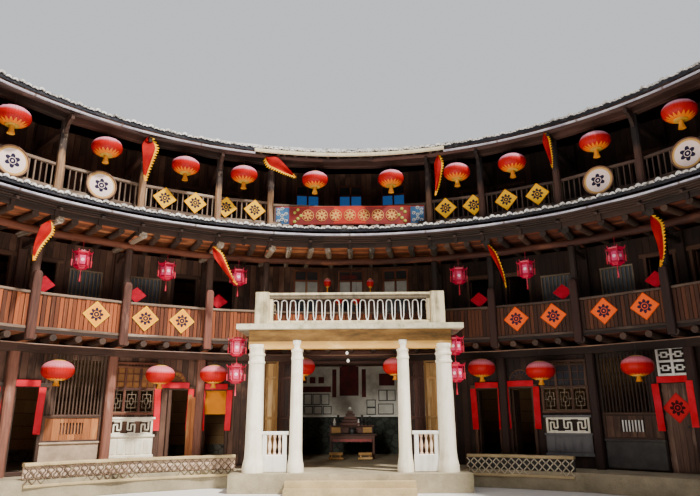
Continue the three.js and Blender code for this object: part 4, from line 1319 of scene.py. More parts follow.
def fan_light(shape, place, wood, glass):
    """Half-round light over a doorway, with rays and two bows."""
    shape.slot = glass
    shape.prism(place @ move(y=0.02), arc(0.3, 12, points=13, sweep=pi), 0.006)
    shape.slot = wood
    for radius, thick in ((0.3, 0.02), (0.17, 0.012)):
        shape.tube(place, arc(radius, 12, points=13, sweep=pi), thick)
    shape.timber(place, 0.66, 0.05, 0.06, 0.008)
    for i in range(1, 8):
        a = pi * i / 8
        shape.tube(place, [(0.05 * cos(a), 0.05 * sin(a)), (0.29 * cos(a), 0.29 * sin(a))], 0.011)


def build_fronts():
    """Lattice windows, vents, openwork panels, fan lights and painted boards of the ground storey."""
    lattice = Shape(40)
    for b, wood, glass in ((-32.45, 0, 3), (31.55, 4, 5)):
        lattice_window(lattice, along(LOW_FRONT_R, b), wood, glass)
    # The right window's base panel is grey cement as painted shade
    for low, high, base in ((-35.2, -29.2, 2), (28.6, 34.6, 6)):
        place, length = along(10.675, (low + high) / 2), chord(LOW_FRONT_R, low, high)[1]
        lattice.slot = 2
        fret(lattice, place @ move(z=1.46), length - 0.1, 0.34, 0.035, 0.06)
        lattice.slot = base
        for z, deep in ((1.68, 0.06), (1.24, 0.05), (0.74, 0.07)):
            lattice.rails(place, (z,), length + 0.06, deep, 0.1, 0.01)
        lattice.rails(place, (0.98,), length, 0.5, 0.05, 0.012, y=0.01)
        for i in range(-2, 3):
            lattice.rails(place, (0.98,), length / 6.5, 0.36, 0.02, 0.008, x=i * length / 5.2, y=-0.02)
    lattice.piece("lattice_windows", "orange_frame bar column amber frame dark_glass grey_cement")
    fans = Shape(41)
    for b, wood, glass in ((-26.6, 0, 2), (25.55, 1, 3)):
        fan_light(fans, along(LOW_FRONT_R, b, 2.60), wood, glass)
    fans.piece("fan_lights", "orange_frame frame amber dark_glass")
    vents = Shape(42)
    # The right panel's slab is dark stone as painted shade
    for b, boards, bars, wall in ((-39.9, 0, 0, 1), (39.95, 2, 3, 4)):
        vent_panel(vents, along(LOW_FRONT_R, b, 1.45), boards, bars, wall)
    vents.piece("vent_panels", "vent brick frame white dark_stone", "weathered_board")
    keys = Shape(43)
    grid = along(10.66, 45.75, 2.93)
    for i in (-0.31, 0.0, 0.31):
        keys.posts(grid, (i,), 0.66, 0.055, 0.045, 0.004)
        keys.rails(grid, (i,), 0.66, 0.055, 0.04, 0.004)
    for x in (-0.155, 0.155):
        for z in (-0.155, 0.155):
            for s in SIDES:
                keys.posts(grid, (x + s * 0.06,), 0.13, 0.03, 0.05, 0.002, z=z)
                keys.rails(grid, (z + s * 0.052,), 0.15, 0.03, 0.05, 0.002, x=x)
                keys.rails(grid, (z,), 0.1, 0.035, 0.045, 0.002, x=x + s * 0.11)
    keys.piece("fret_over_plank_door", "white", "lime_plaster")
    strips = Shape(44)
    for b, top, wide in ((-46.35, 2.43, 0.72), (-26.6, 2.46, 0.76), (-20.6, 2.44, 0.62), (20.6, 2.44, 0.62),
                         (25.5, 2.46, 0.7), (45.6, 2.44, 0.7)):
        strips.timber(along(10.63, b, top + 0.07), wide, 0.15, 0.006, 0.002, 0.003, 5)
        for s in SIDES:
            place = along(10.64, b, top - 0.56) @ move(s * (wide / 2 + 0.05), -0.004) @ turn(s * 1.2, "Y")
            strips.timber(place @ UPRIGHT, 1.08, 0.16, 0.006, 0.001, 0.003, 5)
    strips.timber(along(10.05, 48.55, 1.94) @ UPRIGHT, 1.0, 0.15, 0.006, 0.001, 0.003, 5)
    strips.slot = 1
    strips.timber(along(11.06, -0.3, 5.83), 0.5, 0.12, 0.006, 0.001, 0.003, 5)
    strips.piece("red_paper_strips", "paper maroon", "red_lacquer")
    doorway = Shape(440)
    doorway.timber(along(10.80, -20.5, 2.1), 0.6, 0.66, 0.02, 0.006)
    doorway.slot = 1
    for i in range(3):
        spot = along(10.6, -24.35 + 0.62 * i, 1.36 - 0.03 * i)
        doorway.timber(spot @ UPRIGHT, 1.86 - 0.08 * i, 0.112, 0.03, 0.01, 0.004, 5)
    doorway.piece("doorway_panel_and_leaf", "amber_paper vent")


def build_plank_door():
    """The plank door: five planks, two battens, a round hanging stile, a ring and its paper diamond."""
    low, high = opening(1, 1, "door")
    place, width = along(DOOR_R, (low + high) / 2, TERRACE_TOP), chord(DOOR_R, low, high)[1]
    leaf, count = Shape(45), 5
    half = width / 2
    hinge = 0.028 - half
    plank = (half - 0.008 - hinge) / count
    planks = [hinge + plank * (i + 0.5) for i in range(count)]
    leaf.posts(place, planks, 1.99, plank - 0.004, 0.03, 0.004, 0.001, 4, z=1.005)
    leaf.rails(place, (0.32, 1.02, 1.72), 0.54, 0.09, 0.028, 0.006, x=(hinge + half) / 2, y=0.022)
    leaf.lathe(place @ move(x=hinge), [(0.012, 0.002), (0.02, 0.02), (0.02, 1.99), (0.012, 2.008)], 14)
    leaf.piece("plank_door_leaf", "leaf", "weathered_board", body=DOOR_BODY, replaces=["plank_door"])
    lock = Shape(46)
    lock.tube(place @ move(0.17, -0.026, 0.98), arc(0.035, 16, points=17), 0.005)
    lock.lathe(place @ move(0.17, -0.018, 1.02) @ turn(90, "X"),
               [(0.001, -0.008), (0.024, -0.006), (0.03, 0.0), (0.012, 0.012), (0.001, 0.014)], 16)
    lock.piece("plank_door_ring", "iron", body=DOOR_BODY)
    sign = Marks(47, shifted=False)
    sign.add(place @ move(-0.01, -0.022, 1.44), (0.33, 1, 0.35))
    repeat("plank_door_diamond", diamond_unit(), sign, "red_sign", "red_lacquer", body=DOOR_BODY)


def diamond_unit():
    """Square of board hung by its corner, one metre from middle to corner."""
    shape = Shape(48, toned=False)
    shape.prism(None, [(0, -1), (1, 0), (0, 1), (-1, 0)], 0.012)
    return shape


def column_profile(radius, flare, top, collar):
    """Turned outline of a portico column, from its foot to the collar round the beam."""
    foot = [(1, 0), (1, 0.09), (0.985, 0.15), (0.93, 0.22), (0.85, 0.3)]
    swell = [(1.16, 0.38), (1.12, 0.5)]
    rings = [(1, 0.48), (1.02, 0.475), (1.1, 0.465), (1.12, 0.44), (1.1, 0.41), (1.01, 0.4), (1, 0.39), (1, 0.29),
             (1.03, 0.28), (1.1, 0.27), (1.12, 0.245), (1.1, 0.22), (1.0, 0.21), (0.98, 0.2), (1.0, 0.13), (1.06, 0.1)]
    crown = [(0.99, 0.08), (1, 0.065), (1, 0.012), (0.97, 0)]
    return ([(0.01, TERRACE_TOP)] + [(radius * flare * r, TERRACE_TOP + z) for r, z in foot]
            + [(radius * r, TERRACE_TOP + z) for r, z in swell] + [(radius * 1.07, 1.9)]
            + [(radius * r, top - z) for r, z in rings] + [(radius * collar * r, top - z) for r, z in crown]
            + [(0.01, top)])


def build_portico():
    """Columns, balustrades, ochre beams, mossy slab and the looped parapet of the hall's portico."""
    for name, x, radius, flare, top in (("outer", 2.35, 0.19, 1.4, 3.46), ("inner", 1.33, 0.14, 1.43, 3.56)):
        for side, word in zip(SIDES, ("left", "right")):
            shape = Shape(50)
            shape.lathe(move(side * x, COLUMN_Y), column_profile(radius, flare, top, 1.13), 40)
            shape.piece(f"{name}_column_{word}_turned", "column", "cement", smooth=28,
                        replaces=[f"portico_{name}_column_{word}"])
    wear("ochre", "portico_beams")
    wear("slab", "portico_slab")
    wear("stone", "portico_platform")
    wear("step", "step_upper", "step_lower")
    for side, word in zip(SIDES, ("left", "right")):
        low = Shape(51)
        place = move(side * 1.84, COLUMN_Y, TERRACE_TOP)
        low.timber(place @ move(z=0.9), 0.66, 0.08, 0.17, 0.015)
        low.timber(place @ move(z=0.2), 0.6, 0.4, 0.15, 0.02)
        low.posts(place, (-0.24, 0.24), 0.86, 0.1, 0.14, 0.012, z=0.5)
        low.slot = 1
        for dx in (-0.12, 0.0, 0.12):
            low.lathe(place @ move(x=dx, z=0.4), [
                (0.01, 0.0), (0.038, 0.0), (0.038, 0.035), (0.022, 0.06), (0.044, 0.19), (0.036, 0.26), (0.02, 0.36),
                (0.024, 0.38), (0.036, 0.41), (0.036, 0.46), (0.01, 0.46)], 14)
        low.piece(f"balustrade_{word}", "white baluster", "cement", replaces=[f"portico_balustrade_{word}"])
    rails, corner = Shape(52), 2.225
    for x, y, length, angle in ((0.0, PARAPET_Y, 4.1, 0), (-corner, 9.06, 1.5, 90), (corner, 9.06, 1.5, 90)):
        place = move(x, y) @ turn(angle, "Z")
        # Slot 1, the band under the top coping, is dark: stain and painted shade
        for slot, z, more, *size in ((0, 4.0, 0, 0.08, 0.2, 0.015), (1, 4.66, 0, 0.095, 0.15, 0.012),
                                     (0, 4.73, 0.02, 0.055, 0.2, 0.016)):
            rails.slot = slot
            rails.timber(place @ move(z=z), length + more, *size, 0.002, 4)
    for s in SIDES:
        rails.timber(move(s * corner, PARAPET_Y, 4.365) @ UPRIGHT, 0.81, 0.35, 0.35, 0.03, 0.004, 3)
        rails.timber(move(s * 2.0, PARAPET_Y, 4.32) @ UPRIGHT, 0.56, 0.09, 0.12, 0.012, 0.003, 2)
        rails.timber(move(s * corner, 9.78, 4.365) @ UPRIGHT, 0.81, 0.2, 0.14, 0.02, 0.004, 3)
    rails.piece("parapet_rails_and_pillars", "parapet stained", "cement", replaces=["portico_parapet"])
    loop, marks, count = Shape(53, toned=False), Marks(54), 18
    pitch, top, w = 4.02 / count, 0.545, 0.065
    path = [(-pitch / 2, 0.04), (-pitch * 0.45, 0.045), (-pitch * 0.385, 0.075), (-pitch * 0.345, 0.15),
            (-w * 1.1, 0.35), (-w, top - w)]
    bow = [(w * cos(pi - pi * i / 6), top - w + w * sin(pi * i / 6)) for i in range(1, 6)]
    loop.tube(None, path + bow + [(-x, z) for x, z in reversed(path)], 0.0125, 7)
    loop.lathe(move(x=pitch / 2, z=0.02), [
        (0.004, -0.03), (0.03, -0.018), (0.034, 0.0), (0.026, 0.02), (0.004, 0.028)], 8)
    for i in range(count):
        marks.add(move(pitch * (i + 0.5 - count / 2), PARAPET_Y, 4.035))
    for s in SIDES:
        for i in range(6):
            marks.add(move(s * corner, 8.42 + pitch * i, 4.035) @ OUTWARD)
    repeat("parapet_loops", loop, marks, "white", "cement")


def build_hall():
    """Door leaves, beams, altar table, vessels, bulbs, stools and wall hangings of the plastered hall."""
    wear("hall", "hall_walls")
    build_hall_leaves()
    build_altar()
    build_hall_hangings()


def build_hall_leaves():
    """Two pairs of door leaves, and the beams over the hall."""
    leaves, tall = Shape(55), 3.3 - TERRACE_TOP
    for s in SIDES:
        # The inner leaf of each pair takes the dark beam timber as painted shade
        for x, slot in ((2.30, 0), (1.85, 1)):
            leaves.slot = slot
            place = move(s * x, FRONT_Y - 0.01, (TERRACE_TOP + 3.3) / 2)
            leaves.posts(place, (-0.14, 0, 0.14), tall - 0.06, 0.136, 0.03, 0.005)
            leaves.rails(place, (-1.38, -0.2, 0.9, 1.38), 0.42, 0.08, 0.03, 0.006, y=-0.025)
            leaves.posts(place, (-0.19, 0.19), tall - 0.04, 0.06, 0.035, 0.006, y=-0.025)
    leaves.slot = 1
    for y, deep in ((FRONT_Y, 0.2), (11.9, 0.16), (13.4, 0.16)):
        leaves.timber(move(y=y, z=3.42), 5.1, deep, 0.16, 0.015, 0.004, 5)
    leaves.timber(move(y=FRONT_Y, z=3.2), 5.0, 0.07, 0.06, 0.008)
    leaves.piece("hall_leaves_and_beams", "tan_leaf beam")


def build_altar():
    """Jointed table with a stepped shelf, vessels and candle cups on it, two stools before it, and the bulbs."""
    table = Shape(56)
    (x0, y0, _), (x1, y1, _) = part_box("altar_table")
    wide, deep, top = x1 - x0, y1 - y0, TERRACE_TOP + 0.74
    centre = move((x0 + x1) / 2, (y0 + y1) / 2)
    for i in range(4):
        table.timber(centre @ move(y=(i - 1.5) * deep / 4, z=top - 0.02), wide, 0.04, deep / 4 - 0.003, 0.006)
    for s in SIDES:
        table.timber(centre @ move(y=s * (deep - 0.14) / 2, z=top - 0.12), wide - 0.14, 0.15, 0.03, 0.006)
        for t in SIDES:
            leg = centre @ move(s * 0.66, t * 0.29, (TERRACE_TOP + top) / 2)
            table.timber(leg @ UPRIGHT, 0.72, 0.075, 0.075, 0.01)
    table.slot = 1
    hem = [(0.6 - 0.06 * (i % 2) - 1.2 * i / 16, -0.04 + 0.03 * (i % 2)) for i in range(17)]
    table.prism(centre @ move(y=-deep / 2 + 0.03, z=top - 0.2), hem + [(-0.6, 0.05), (0.6, 0.05)], 0.02)
    table.piece("altar_table_joined", "table red", replaces=["altar_table"])
    goods = Shape(57)
    shelf = move(-0.02, 12.9, top)
    goods.slot = 2
    goods.timber(shelf @ move(z=0.235), 1.42, 0.035, 0.34, 0.008)
    goods.posts(shelf, [i * 0.33 for i in range(-2, 3)], 0.21, 0.05, 0.05, 0.006, y=-0.13, z=0.11)
    for x, slot in ((-1.5, 1), (-0.5, 2), (0.5, 2), (1.5, 1)):
        goods.slot = slot
        goods.timber(shelf @ move(x * 0.33, -0.125, 0.11), 0.28, 0.17, 0.02, 0.006)
    goods.slot = 2
    for k in range(5):
        goods.timber(shelf @ move(-0.05, 0.02, 0.3 + 0.09 * k), 0.62 - 0.11 * k, 0.085, 0.22 - 0.03 * k, 0.012)
    goods.slot = 3
    goods.lathe(shelf @ move(x=-0.05, z=0.78), [
        (0.002, -0.05), (0.035, -0.03), (0.05, 0.0), (0.035, 0.03), (0.002, 0.05)], 16)
    for x, slot, size in ((-0.64, 0, 1.2), (-0.55, 3, 1.0), (-0.43, 0, 1.5), (-0.33, 0, 1.1), (0.22, 3, 0.9),
                          (0.33, 0, 1.5), (0.45, 0, 1.1), (0.58, 0, 1.3)):
        goods.slot = slot
        goods.lathe(shelf @ move(x, -0.05, 0.25) @ Matrix.Scale(size, 4), [
            (0.01, 0), (0.045, 0), (0.04, 0.02), (0.025, 0.05), (0.048, 0.1), (0.03, 0.15), (0.022, 0.2),
            (0.032, 0.215), (0.01, 0.22)], 14)
    goods.slot = 0
    goods.lathe(move(y=12.55, z=top), [
        (0.01, 0), (0.09, 0.0), (0.11, 0.04), (0.12, 0.1), (0.1, 0.15), (0.125, 0.17), (0.12, 0.18), (0.01, 0.17)], 20)
    goods.slot = 1
    for x in (-0.49, 0.39):
        place = move(x, 12.12, TERRACE_TOP)
        goods.timber(place @ move(z=0.18), 0.4, 0.08, 0.26, 0.03)
        goods.timber(place @ move(z=0.05), 0.44, 0.07, 0.28, 0.025)
        for dx in (-0.13, 0.13):
            goods.timber(place @ move(x=dx, z=0.1), 0.04, 0.08, 0.2, 0.008)
    goods.piece("altar_vessels_and_stools", "iron tan_leaf table white")
    bulbs = Shape(571)
    for x, z in ((-0.1, 3.38), (-0.07, 3.17)):
        bulbs.slot = 0
        bulbs.lathe(move(x, 9.6, z), [(0.002, -0.05), (0.03, -0.035), (0.04, 0.0), (0.02, 0.04), (0.002, 0.05)], 14)
        bulbs.slot = 1
        hang(bulbs, move(x, 9.6), 3.6, z)
    bulbs.piece("hall_bulbs", "lit_glass iron", "lime_plaster")


def build_hall_hangings():
    """Cloth panels, framed plain papers and the rail on the hall's back wall."""
    panels = Shape(58)
    back = move(-0.13, BACK_Y)
    for x, z, w, h in ((0, 2.9, 0.68, 1.02), (0, 3.45, 0.5, 0.1), (-0.53, 2.83, 0.15, 0.98), (0.53, 2.83, 0.15, 0.98)):
        panels.timber(back @ move(x=x, z=z), w, h, 0.012, 0.004)
    for x, z, w, h in [(-1.0 - i * 0.31, 2.94, 0.2, 0.22) for i in range(3)] + [
            (-1.2, 2.62, 1.1, 0.2), (1.35, 2.95, 0.55, 0.42)]:
        panels.timber(back @ move(x=x, z=z), w, h, 0.01, 0.003)
    for x, z, w, h in [(-0.85 - i * 0.31, 2.27, 0.26, 0.36) for i in range(4)] + [
            (-0.78 - i * 0.33, 1.9, 0.28, 0.26) for i in range(4)] + [
            (0.78, 2.12, 0.3, 0.24), (0.78, 1.86, 0.3, 0.22), (1.2, 2.4, 0.28, 0.36), (1.5, 2.4, 0.28, 0.36),
            (1.3, 1.93, 0.52, 0.34)]:
        place = back @ move(x=x, z=z)
        panels.slot = 1
        panels.posts(place, (-w / 2, w / 2), h + 0.03, 0.03, 0.02, 0.004)
        panels.rails(place, (-h / 2, h / 2), w, 0.03, 0.02, 0.004)
        panels.slot = 2
        panels.timber(place @ move(y=0.005), w - 0.02, h - 0.02, 0.006, 0.0)
    panels.slot = 3
    panels.timber(back @ move(x=0.1, z=1.69), 4.6, 0.05, 0.03, 0.008)
    panels.piece("hall_wall_hangings", "maroon iron picture white", "red_lacquer")


def build_terrace():
    """Stone terrace and the coped openwork walls on its edge."""
    wear("stone", "terrace")
    wear("earth", "earth_wall_hall_side", "earth_wall_gate_side")
    tile = Shape(61, toned=False)
    for x in (-0.09, 0.09):
        for z in (-0.09, 0.09):
            half = [(-x, -z), (-x * 0.62, -z * 0.55), (-x * 0.2, -z * 0.12)]
            tile.tube(move(z=z), half + [(a, -c) for a, c in reversed(half)], 0.014, 5)
    # The right wall's backing behind the openwork is dark stone as painted shade
    for word, first, last, backing, finish in (("left", -47, -18, "pink_stone", "plinth"),
                                               ("right", 18, 33.5, "dark_stone", "openwork")):
        cope = Shape(60)
        steps = round((last - first) / 2.2)
        for i in range(steps):
            ends = [first + (last - first) * k / steps for k in (i, i + 1)]
            place, length = chord(COPING_R, *ends, 0.735 + cope.dice.uniform(-0.004, 0.004))
            cope.timber(place, length - 0.006, 0.075, 0.19, 0.015, 0.003, 3)
            cope.slot = 1
            cope.timber(chord(COPING_R, *ends, 0.56)[0], length - 0.004, 0.27, 0.06, 0.012, 0.003, 3)
            cope.slot = 0
            cope.timber(chord(OPENWORK_R, *ends, 0.3)[0], length - 0.004, 0.06, 0.1, 0.012, 0.003, 3)
        cope.piece(f"terrace_wall_coping_{word}", f"step {backing}", "stone", replaces=[f"terrace_wall_{word}"])
        marks = Marks(62)
        count = round(2 * pi * OPENWORK_R * (last - first) / 360 / 0.18)
        for i in range(count):
            marks.add(at(OPENWORK_R, first + (last - first) * (i + 0.5) / count, 0.515), (1, 1.6, 1))
        repeat(f"openwork_tiles_{word}", tile, marks, finish, "stone")


def lantern_unit():
    """Oval lantern on ribs, one metre across and 1.4 high in its own measure."""
    shape = Shape(63, toned=False)
    sections = []
    for i in range(11):
        z = 0.62 * cos(pi * (0.06 + 0.88 * i / 10))
        width = (1 - abs(z / 0.68) ** 2.3) ** 0.5
        ribs = [1 - 0.03 * (0.5 + 0.5 * cos(12 * 2 * pi * k / 36)) * width for k in range(36)]
        sections.append([(width * rib * x, width * rib * y, z) for rib, (x, y) in zip(ribs, arc(1, 36))])
    shape.loft(sections)
    return shape


def hang(shape, place, top, bottom, thick=0.006):
    """Wire from a fixing down to what hangs."""
    shape.log(place @ move(z=(top + bottom) / 2) @ UPRIGHT, top - bottom, thick, 1.0, 6, 1, 0.0)


def bearing_of(x, y):
    """Radius and bearing of a point of the plan."""
    return hypot(x, y), degrees(atan2(x, y))


def build_lanterns(sizes):
    """Oval lanterns on three levels and the six-sided palace lanterns, each on its wire."""
    ovals = [(9.1, b, 8.27, 0.375, 0.21, 8.8) for b in (
        -55.9, -42.0, -29.1, -19.0, -6.3, 7.5, 19.3, 28.9, 42.5, 55.1)]
    ovals += [(9.8, b, z, 0.365, 0.215, 3.33) for b, z in (
        (-43.85, 2.77), (-29.7, 2.75), (-21.7, 2.79), (20.75, 2.92), (29.55, 2.8), (42.95, 2.8))]
    ovals += [(*bearing_of(x, 9.5), 3.0, 0.33, 0.22, 3.6) for x in (-1.29, 1.2)]
    ovals += [(10.4, b, z, 0.11, 0.12, 6.0) for b, z in ((-1.9, 5.0), (0.9, 5.0), (-3.8, 5.52), (3.2, 5.5))]
    high_marks, low_marks = Marks(64, shifted=False), Marks(640, shifted=False)
    metal, tassels, scale = Shape(65), Shape(66), sizes.lantern_scale
    for r, b, z, wide, high, top in ovals:
        place = at(r, b, z)
        marks = high_marks if z > 7 else low_marks
        spin = turn(marks.dice.uniform(-40, 40), "Z") @ turn(marks.dice.uniform(-4, 4), "X")
        marks.add(place @ spin, (wide * scale, wide * scale, high / 0.62 * scale))
        metal.slot = 0
        hang(metal, at(r, b), top, z + high * 0.95)
        metal.slot = 1
        for dz, size in ((high * 0.95, 0.42), (-high * 0.95, 0.40)):
            metal.lathe(place @ move(z=dz), [(0.004, -0.03), (wide * size, -0.026), (wide * size, 0.02),
                                             (wide * size * 0.6, 0.034), (0.004, 0.036)], 20)
        fringe = 0.19 if z > 3.2 else 0.12
        skirt = [(wide * rr, dz * fringe) for rr, dz in (
            (0.13, 0), (0.14, -0.4), (0.22, -1.0), (0.19, -1.0), (0.02, -0.9))]
        tassels.lathe(place @ move(z=-high * 0.95 - 0.03), [(0.01, 0.0)] + skirt, 18)
    for name, marks, finish in (("top_gallery", high_marks, "lantern"), ("ground_storey", low_marks, "low_lantern")):
        repeat(f"{name}_lanterns", lantern_unit(), marks, finish, "red_lacquer", smooth=60)
    metal.piece("lantern_wires_and_caps", "iron gold", "red_lacquer")
    tassels.piece("lantern_fringes", "tassel", "red_lacquer")
    palaces = [(9.6, b, 5.4, 5.9) for b in (-42.8, -30.2, -18.8, 18.2, 29.0, 42.4)]
    palaces += [(*bearing_of(x, 8.3), z, z + 0.42) for x in (-2.87, 2.66) for z in (3.4, 2.73)]
    body, trim = Shape(67), Shape(68)
    for r, b, z, top in palaces:
        place = at(r, b, z) @ turn(body.dice.uniform(-12, 12), "Z") @ Matrix.Scale(0.88, 4)
        palace_lantern(body, trim, place)
        hang(trim, at(r, b), top, z + 0.26, 0.005)
    body.piece("palace_lanterns", "palace pink pale_pink", "red_lacquer", smooth=30)
    trim.piece("palace_tassels", "red_tassel", "red_lacquer")


def palace_lantern(body, trim, place):
    """Six-sided lantern with corner sticks, scrolls, pale centres on its faces as painted highlights, and tassels at
    its corners and foot.
    """
    for outline in (
            [(0.01, 0.17), (0.17, 0.17), (0.235, 0.20), (0.25, 0.235), (0.12, 0.25), (0.10, 0.3), (0.01, 0.31)],
            [(0.01, -0.25), (0.12, -0.25), (0.17, -0.2), (0.21, -0.19), (0.21, -0.165), (0.01, -0.16)],
            [(0.01, -0.16), (0.165, -0.16), (0.185, 0.0), (0.165, 0.17), (0.01, 0.17)]):
        body.lathe(place, outline, 6)
    for i in range(6):
        corner = place @ turn(60 * i, "Z")
        body.timber(corner @ move(x=0.19) @ UPRIGHT, 0.36, 0.022, 0.022, 0.004)
        body.tube(corner @ move(x=0.2, z=0.2), [(0, 0), (0.04, 0.015), (0.07, 0.05), (0.065, 0.085)], 0.011)
        face = corner @ turn(30, "Z")
        body.slot = 1
        body.timber(face @ move(x=0.158) @ turn(90, "Z"), 0.14, 0.25, 0.006, 0.0)
        # Pale disc in the middle of each face: painted highlight
        body.slot = 2
        body.lathe(face @ move(x=0.161) @ turn(90, "Y"), [
            (0.002, -0.004), (0.05, -0.003), (0.045, 0.004), (0.002, 0.005)], 10)
        body.slot = 0
        trim.log(corner @ move(x=0.25, z=0.1) @ UPRIGHT, 0.22, 0.006, 1.0, 6, 2, 0.004)
        trim.log(corner @ move(x=0.25, z=-0.08) @ UPRIGHT, 0.18, 0.018, 1.5, 7, 2, 0.004)
    trim.log(place @ move(z=-0.36) @ UPRIGHT, 0.26, 0.012, 1.0, 6, 2, 0.006)
    trim.log(place @ move(z=-0.5) @ UPRIGHT, 0.18, 0.026, 0.6, 9, 3, 0.006)


def pennant(name, top, tail, wide, sag, carrier):
    """A fringed pennant that hangs from a point and narrows to its tail."""
    start, end, seed = at(*top).to_translation(), at(*tail).to_translation(), len(name)
    name = f"pennant_{name}"
    across, count, widest = (-0.8, -0.4, 0.0, 0.4, 0.8, 1.05, 1.2), 32, 0.27
    phase = random.Random(seed).uniform(0, 6)
    down = (end - start) / (end - start).length
    side = down.cross(Vector((start.x, start.y, 0)).normalized()).normalized()
    out = side.cross(down).normalized()
    cloth, middles, cols = Shape(toned=False), [], len(across)
    for i in range(count + 1):
        t = i / count
        rise, narrow = 0.12 + 0.88 * sin(pi / 2 * t / widest), 1 - 0.93 * (t - widest) / (1 - widest)
        half = wide / 2 * (rise if t < widest else narrow)
        middle = start.lerp(end, t) + side * sag * sin(pi * t) + out * 0.05 * sin(7 * t + phase)
        middles.append(middle)
        for k, u in enumerate(across):
            tooth = 0.6 if i % 2 and u == across[-1] else 0
            fold = 0.03 * sin(3 * u + 5 * t + phase)
            cloth.points.append(middle + side * (half * u + tooth * wide / 2 * (1 - 0.5 * t)) + out * fold)
            cloth.grain.append((k * 0.05, i * 0.05, seed))
            if i < count and k < cols - 1:
                a = i * cols + k
                cloth.faces.append([a, a + 1, a + cols + 1, a + cols])
                cloth.slots.append(1 if k == cols - 2 or i > count - 5 else 0)
    mesh = cloth.mesh(name)
    mesh.materials.append(F["flag"])
    mesh.materials.append(F["flag_edge"])
    flag = place_object(name, mesh)
    flag.modifiers.new("cloth", "SOLIDIFY").thickness = 0.004
    solid = plain_mesh(flag)
    solid.name = name
    piece = settle(name, solid, "red_lacquer", smooth=50)
    cut = sum((b - a).length for a, b in zip(middles, middles[1:]))


def build_hangings():
    """Pennants, diamond signs, painted trays and the long carved board."""
    for name, seed, r, z, size, places in (
            ("yellow", 70, 9.385, 7.34, 0.31, (-31.8, -26.8, -21.6, -16.7, 16.8, 21.6, 27.1, 32.2)),
            ("amber", 73, 9.85, 4.16, 0.33, (-39.57, -32.53, -27.08)),
            ("orange", 71, 9.85, 4.16, 0.33, (26.59, 32.16, 39.4, 44.92))):
        signs = Marks(seed, shifted=False)
        for b in places:
            signs.add(along(r, b, z) @ turn(signs.dice.uniform(-3, 3), "Y"), (size, 1, size))
        repeat(f"{name}_diamond_signs", diamond_unit(), signs, f"{name}_sign", "red_lacquer")
    reds = Marks(72, shifted=False)
    for b in (-46.77, -33.98, -21.5, 20.93, 33.67, 46.6):
        reds.add(along(9.96, b, 4.77), (0.25, 1, 0.21))
    repeat("dark_red_diamonds", diamond_unit(), reds, "dark_paper", "red_lacquer")
    disc = Shape(73, toned=False)
    disc.prism(None, arc(1, 28), 0.02)
    trays, rims = Marks(74, shifted=False), Shape(75)
    for b in (-54.6, -41.8, 41.8, 54.7):
        place = along(9.36, b, 7.32)
        trays.add(place, (0.35, 1, 0.35))
        rims.tube(place @ move(y=-0.015), arc(0.36, 28, points=29), 0.02)
    repeat("painted_trays", disc, trays, "disc", "red_lacquer")
    rims.piece("tray_rims", "bamboo")
    carve_board()
    eaves, joists = "eave_logs", "level_3_post_joists"
    for row in (
            ("left_top", (8.955, -35.76, 8.83), (8.9, -35.9, 7.55), 0.36, -0.02, eaves),
            ("blown_left", (8.955, -15.3, 8.81), (8.75, -9.9, 8.15), -0.36, 0.06, eaves),
            ("right_top", (8.955, 16.2, 8.81), (8.9, 15.5, 7.56), 0.22, 0.02, eaves),
            ("right_far", (8.955, 34.8, 8.83), (8.9, 35.8, 7.77), 0.17, 0.0, eaves),
            ("low_far_left", (9.2, -48.7, 6.11), (9.0, -50.8, 5.05), 0.27, -0.04, joists),
            ("low_left", (9.2, -23.6, 6.11), (9.0, -19.4, 5.08), 0.22, -0.05, joists),
            ("low_right", (9.2, 23.6, 6.11), (9.05, 26.4, 4.85), 0.13, 0.05, joists),
            ("low_far_right", (9.2, 48.7, 6.11), (9.0, 49.5, 4.85), 0.24, 0.1, joists)):
        pennant(*row)


def carve_board():
    """The long board of the top gallery: red field, blue ends with scrolls, studs and rosettes."""
    board = Shape(76)
    low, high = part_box("name_board")
    wide, tall = high[0] - low[0], high[2] - low[2]
    face = move(0, low[1] + 0.015, (low[2] + high[2]) / 2)
    board.timber(face, wide, tall, 0.03, 0.006)
    board.slot = 5
    board.timber(face @ move(y=-0.012), 0.9, tall - 0.05, 0.012, 0.004)
    board.timber(face @ move(z=tall / 2 - 0.012, y=-0.012), wide, 0.024, 0.02, 0.006)
    board.slot = 2
    for s in SIDES:
        board.timber(face @ move(s * (wide / 2 - 0.2), -0.012), 0.38, tall - 0.03, 0.012, 0.004)
    board.slot = 1
    curl = [(0.055 * cos(a) * (1 - a / 14), 0.055 * sin(a) * (1 - a / 14)) for a in (pi * k / 4 for k in range(12))]
    for s in SIDES:
        for i in range(8):
            x, z = s * (wide / 2 - 0.08 - 0.11 * (i % 3)), 0.16 * (i // 3 - 1) + 0.05 * (i % 2)
            board.tube(face @ move(x, -0.022, z), curl, 0.008, 4)
    board.slot = 3
    for s in SIDES:
        for i in range(5):
            spot = face @ move(s * (wide / 2 - 0.55 - 0.09 * (i % 3)), -0.02, 0.09 * (i - 2))
            board.lathe(spot @ turn(90, "X"), [(0.002, 0.0), (0.05, 0.0), (0.035, 0.012), (0.002, 0.014)], 7)
    board.slot = 4
    for i in range(-3, 4):
        spot = face @ move(i * 0.4, -0.019)
        for k, (x, z) in enumerate(arc(0.085, 8)):
            board.prism(spot @ move(x=x, z=z) @ turn(-45 * k, "Y"), arc(0.06, 8, 0.026), 0.012)
        board.tube(spot, arc(0.165, 20, points=21), 0.008, 5)
    board.piece("carved_name_board", "sign_red white teal flower dim_gold mid_red", "red_lacquer",
                replaces=["name_board"])


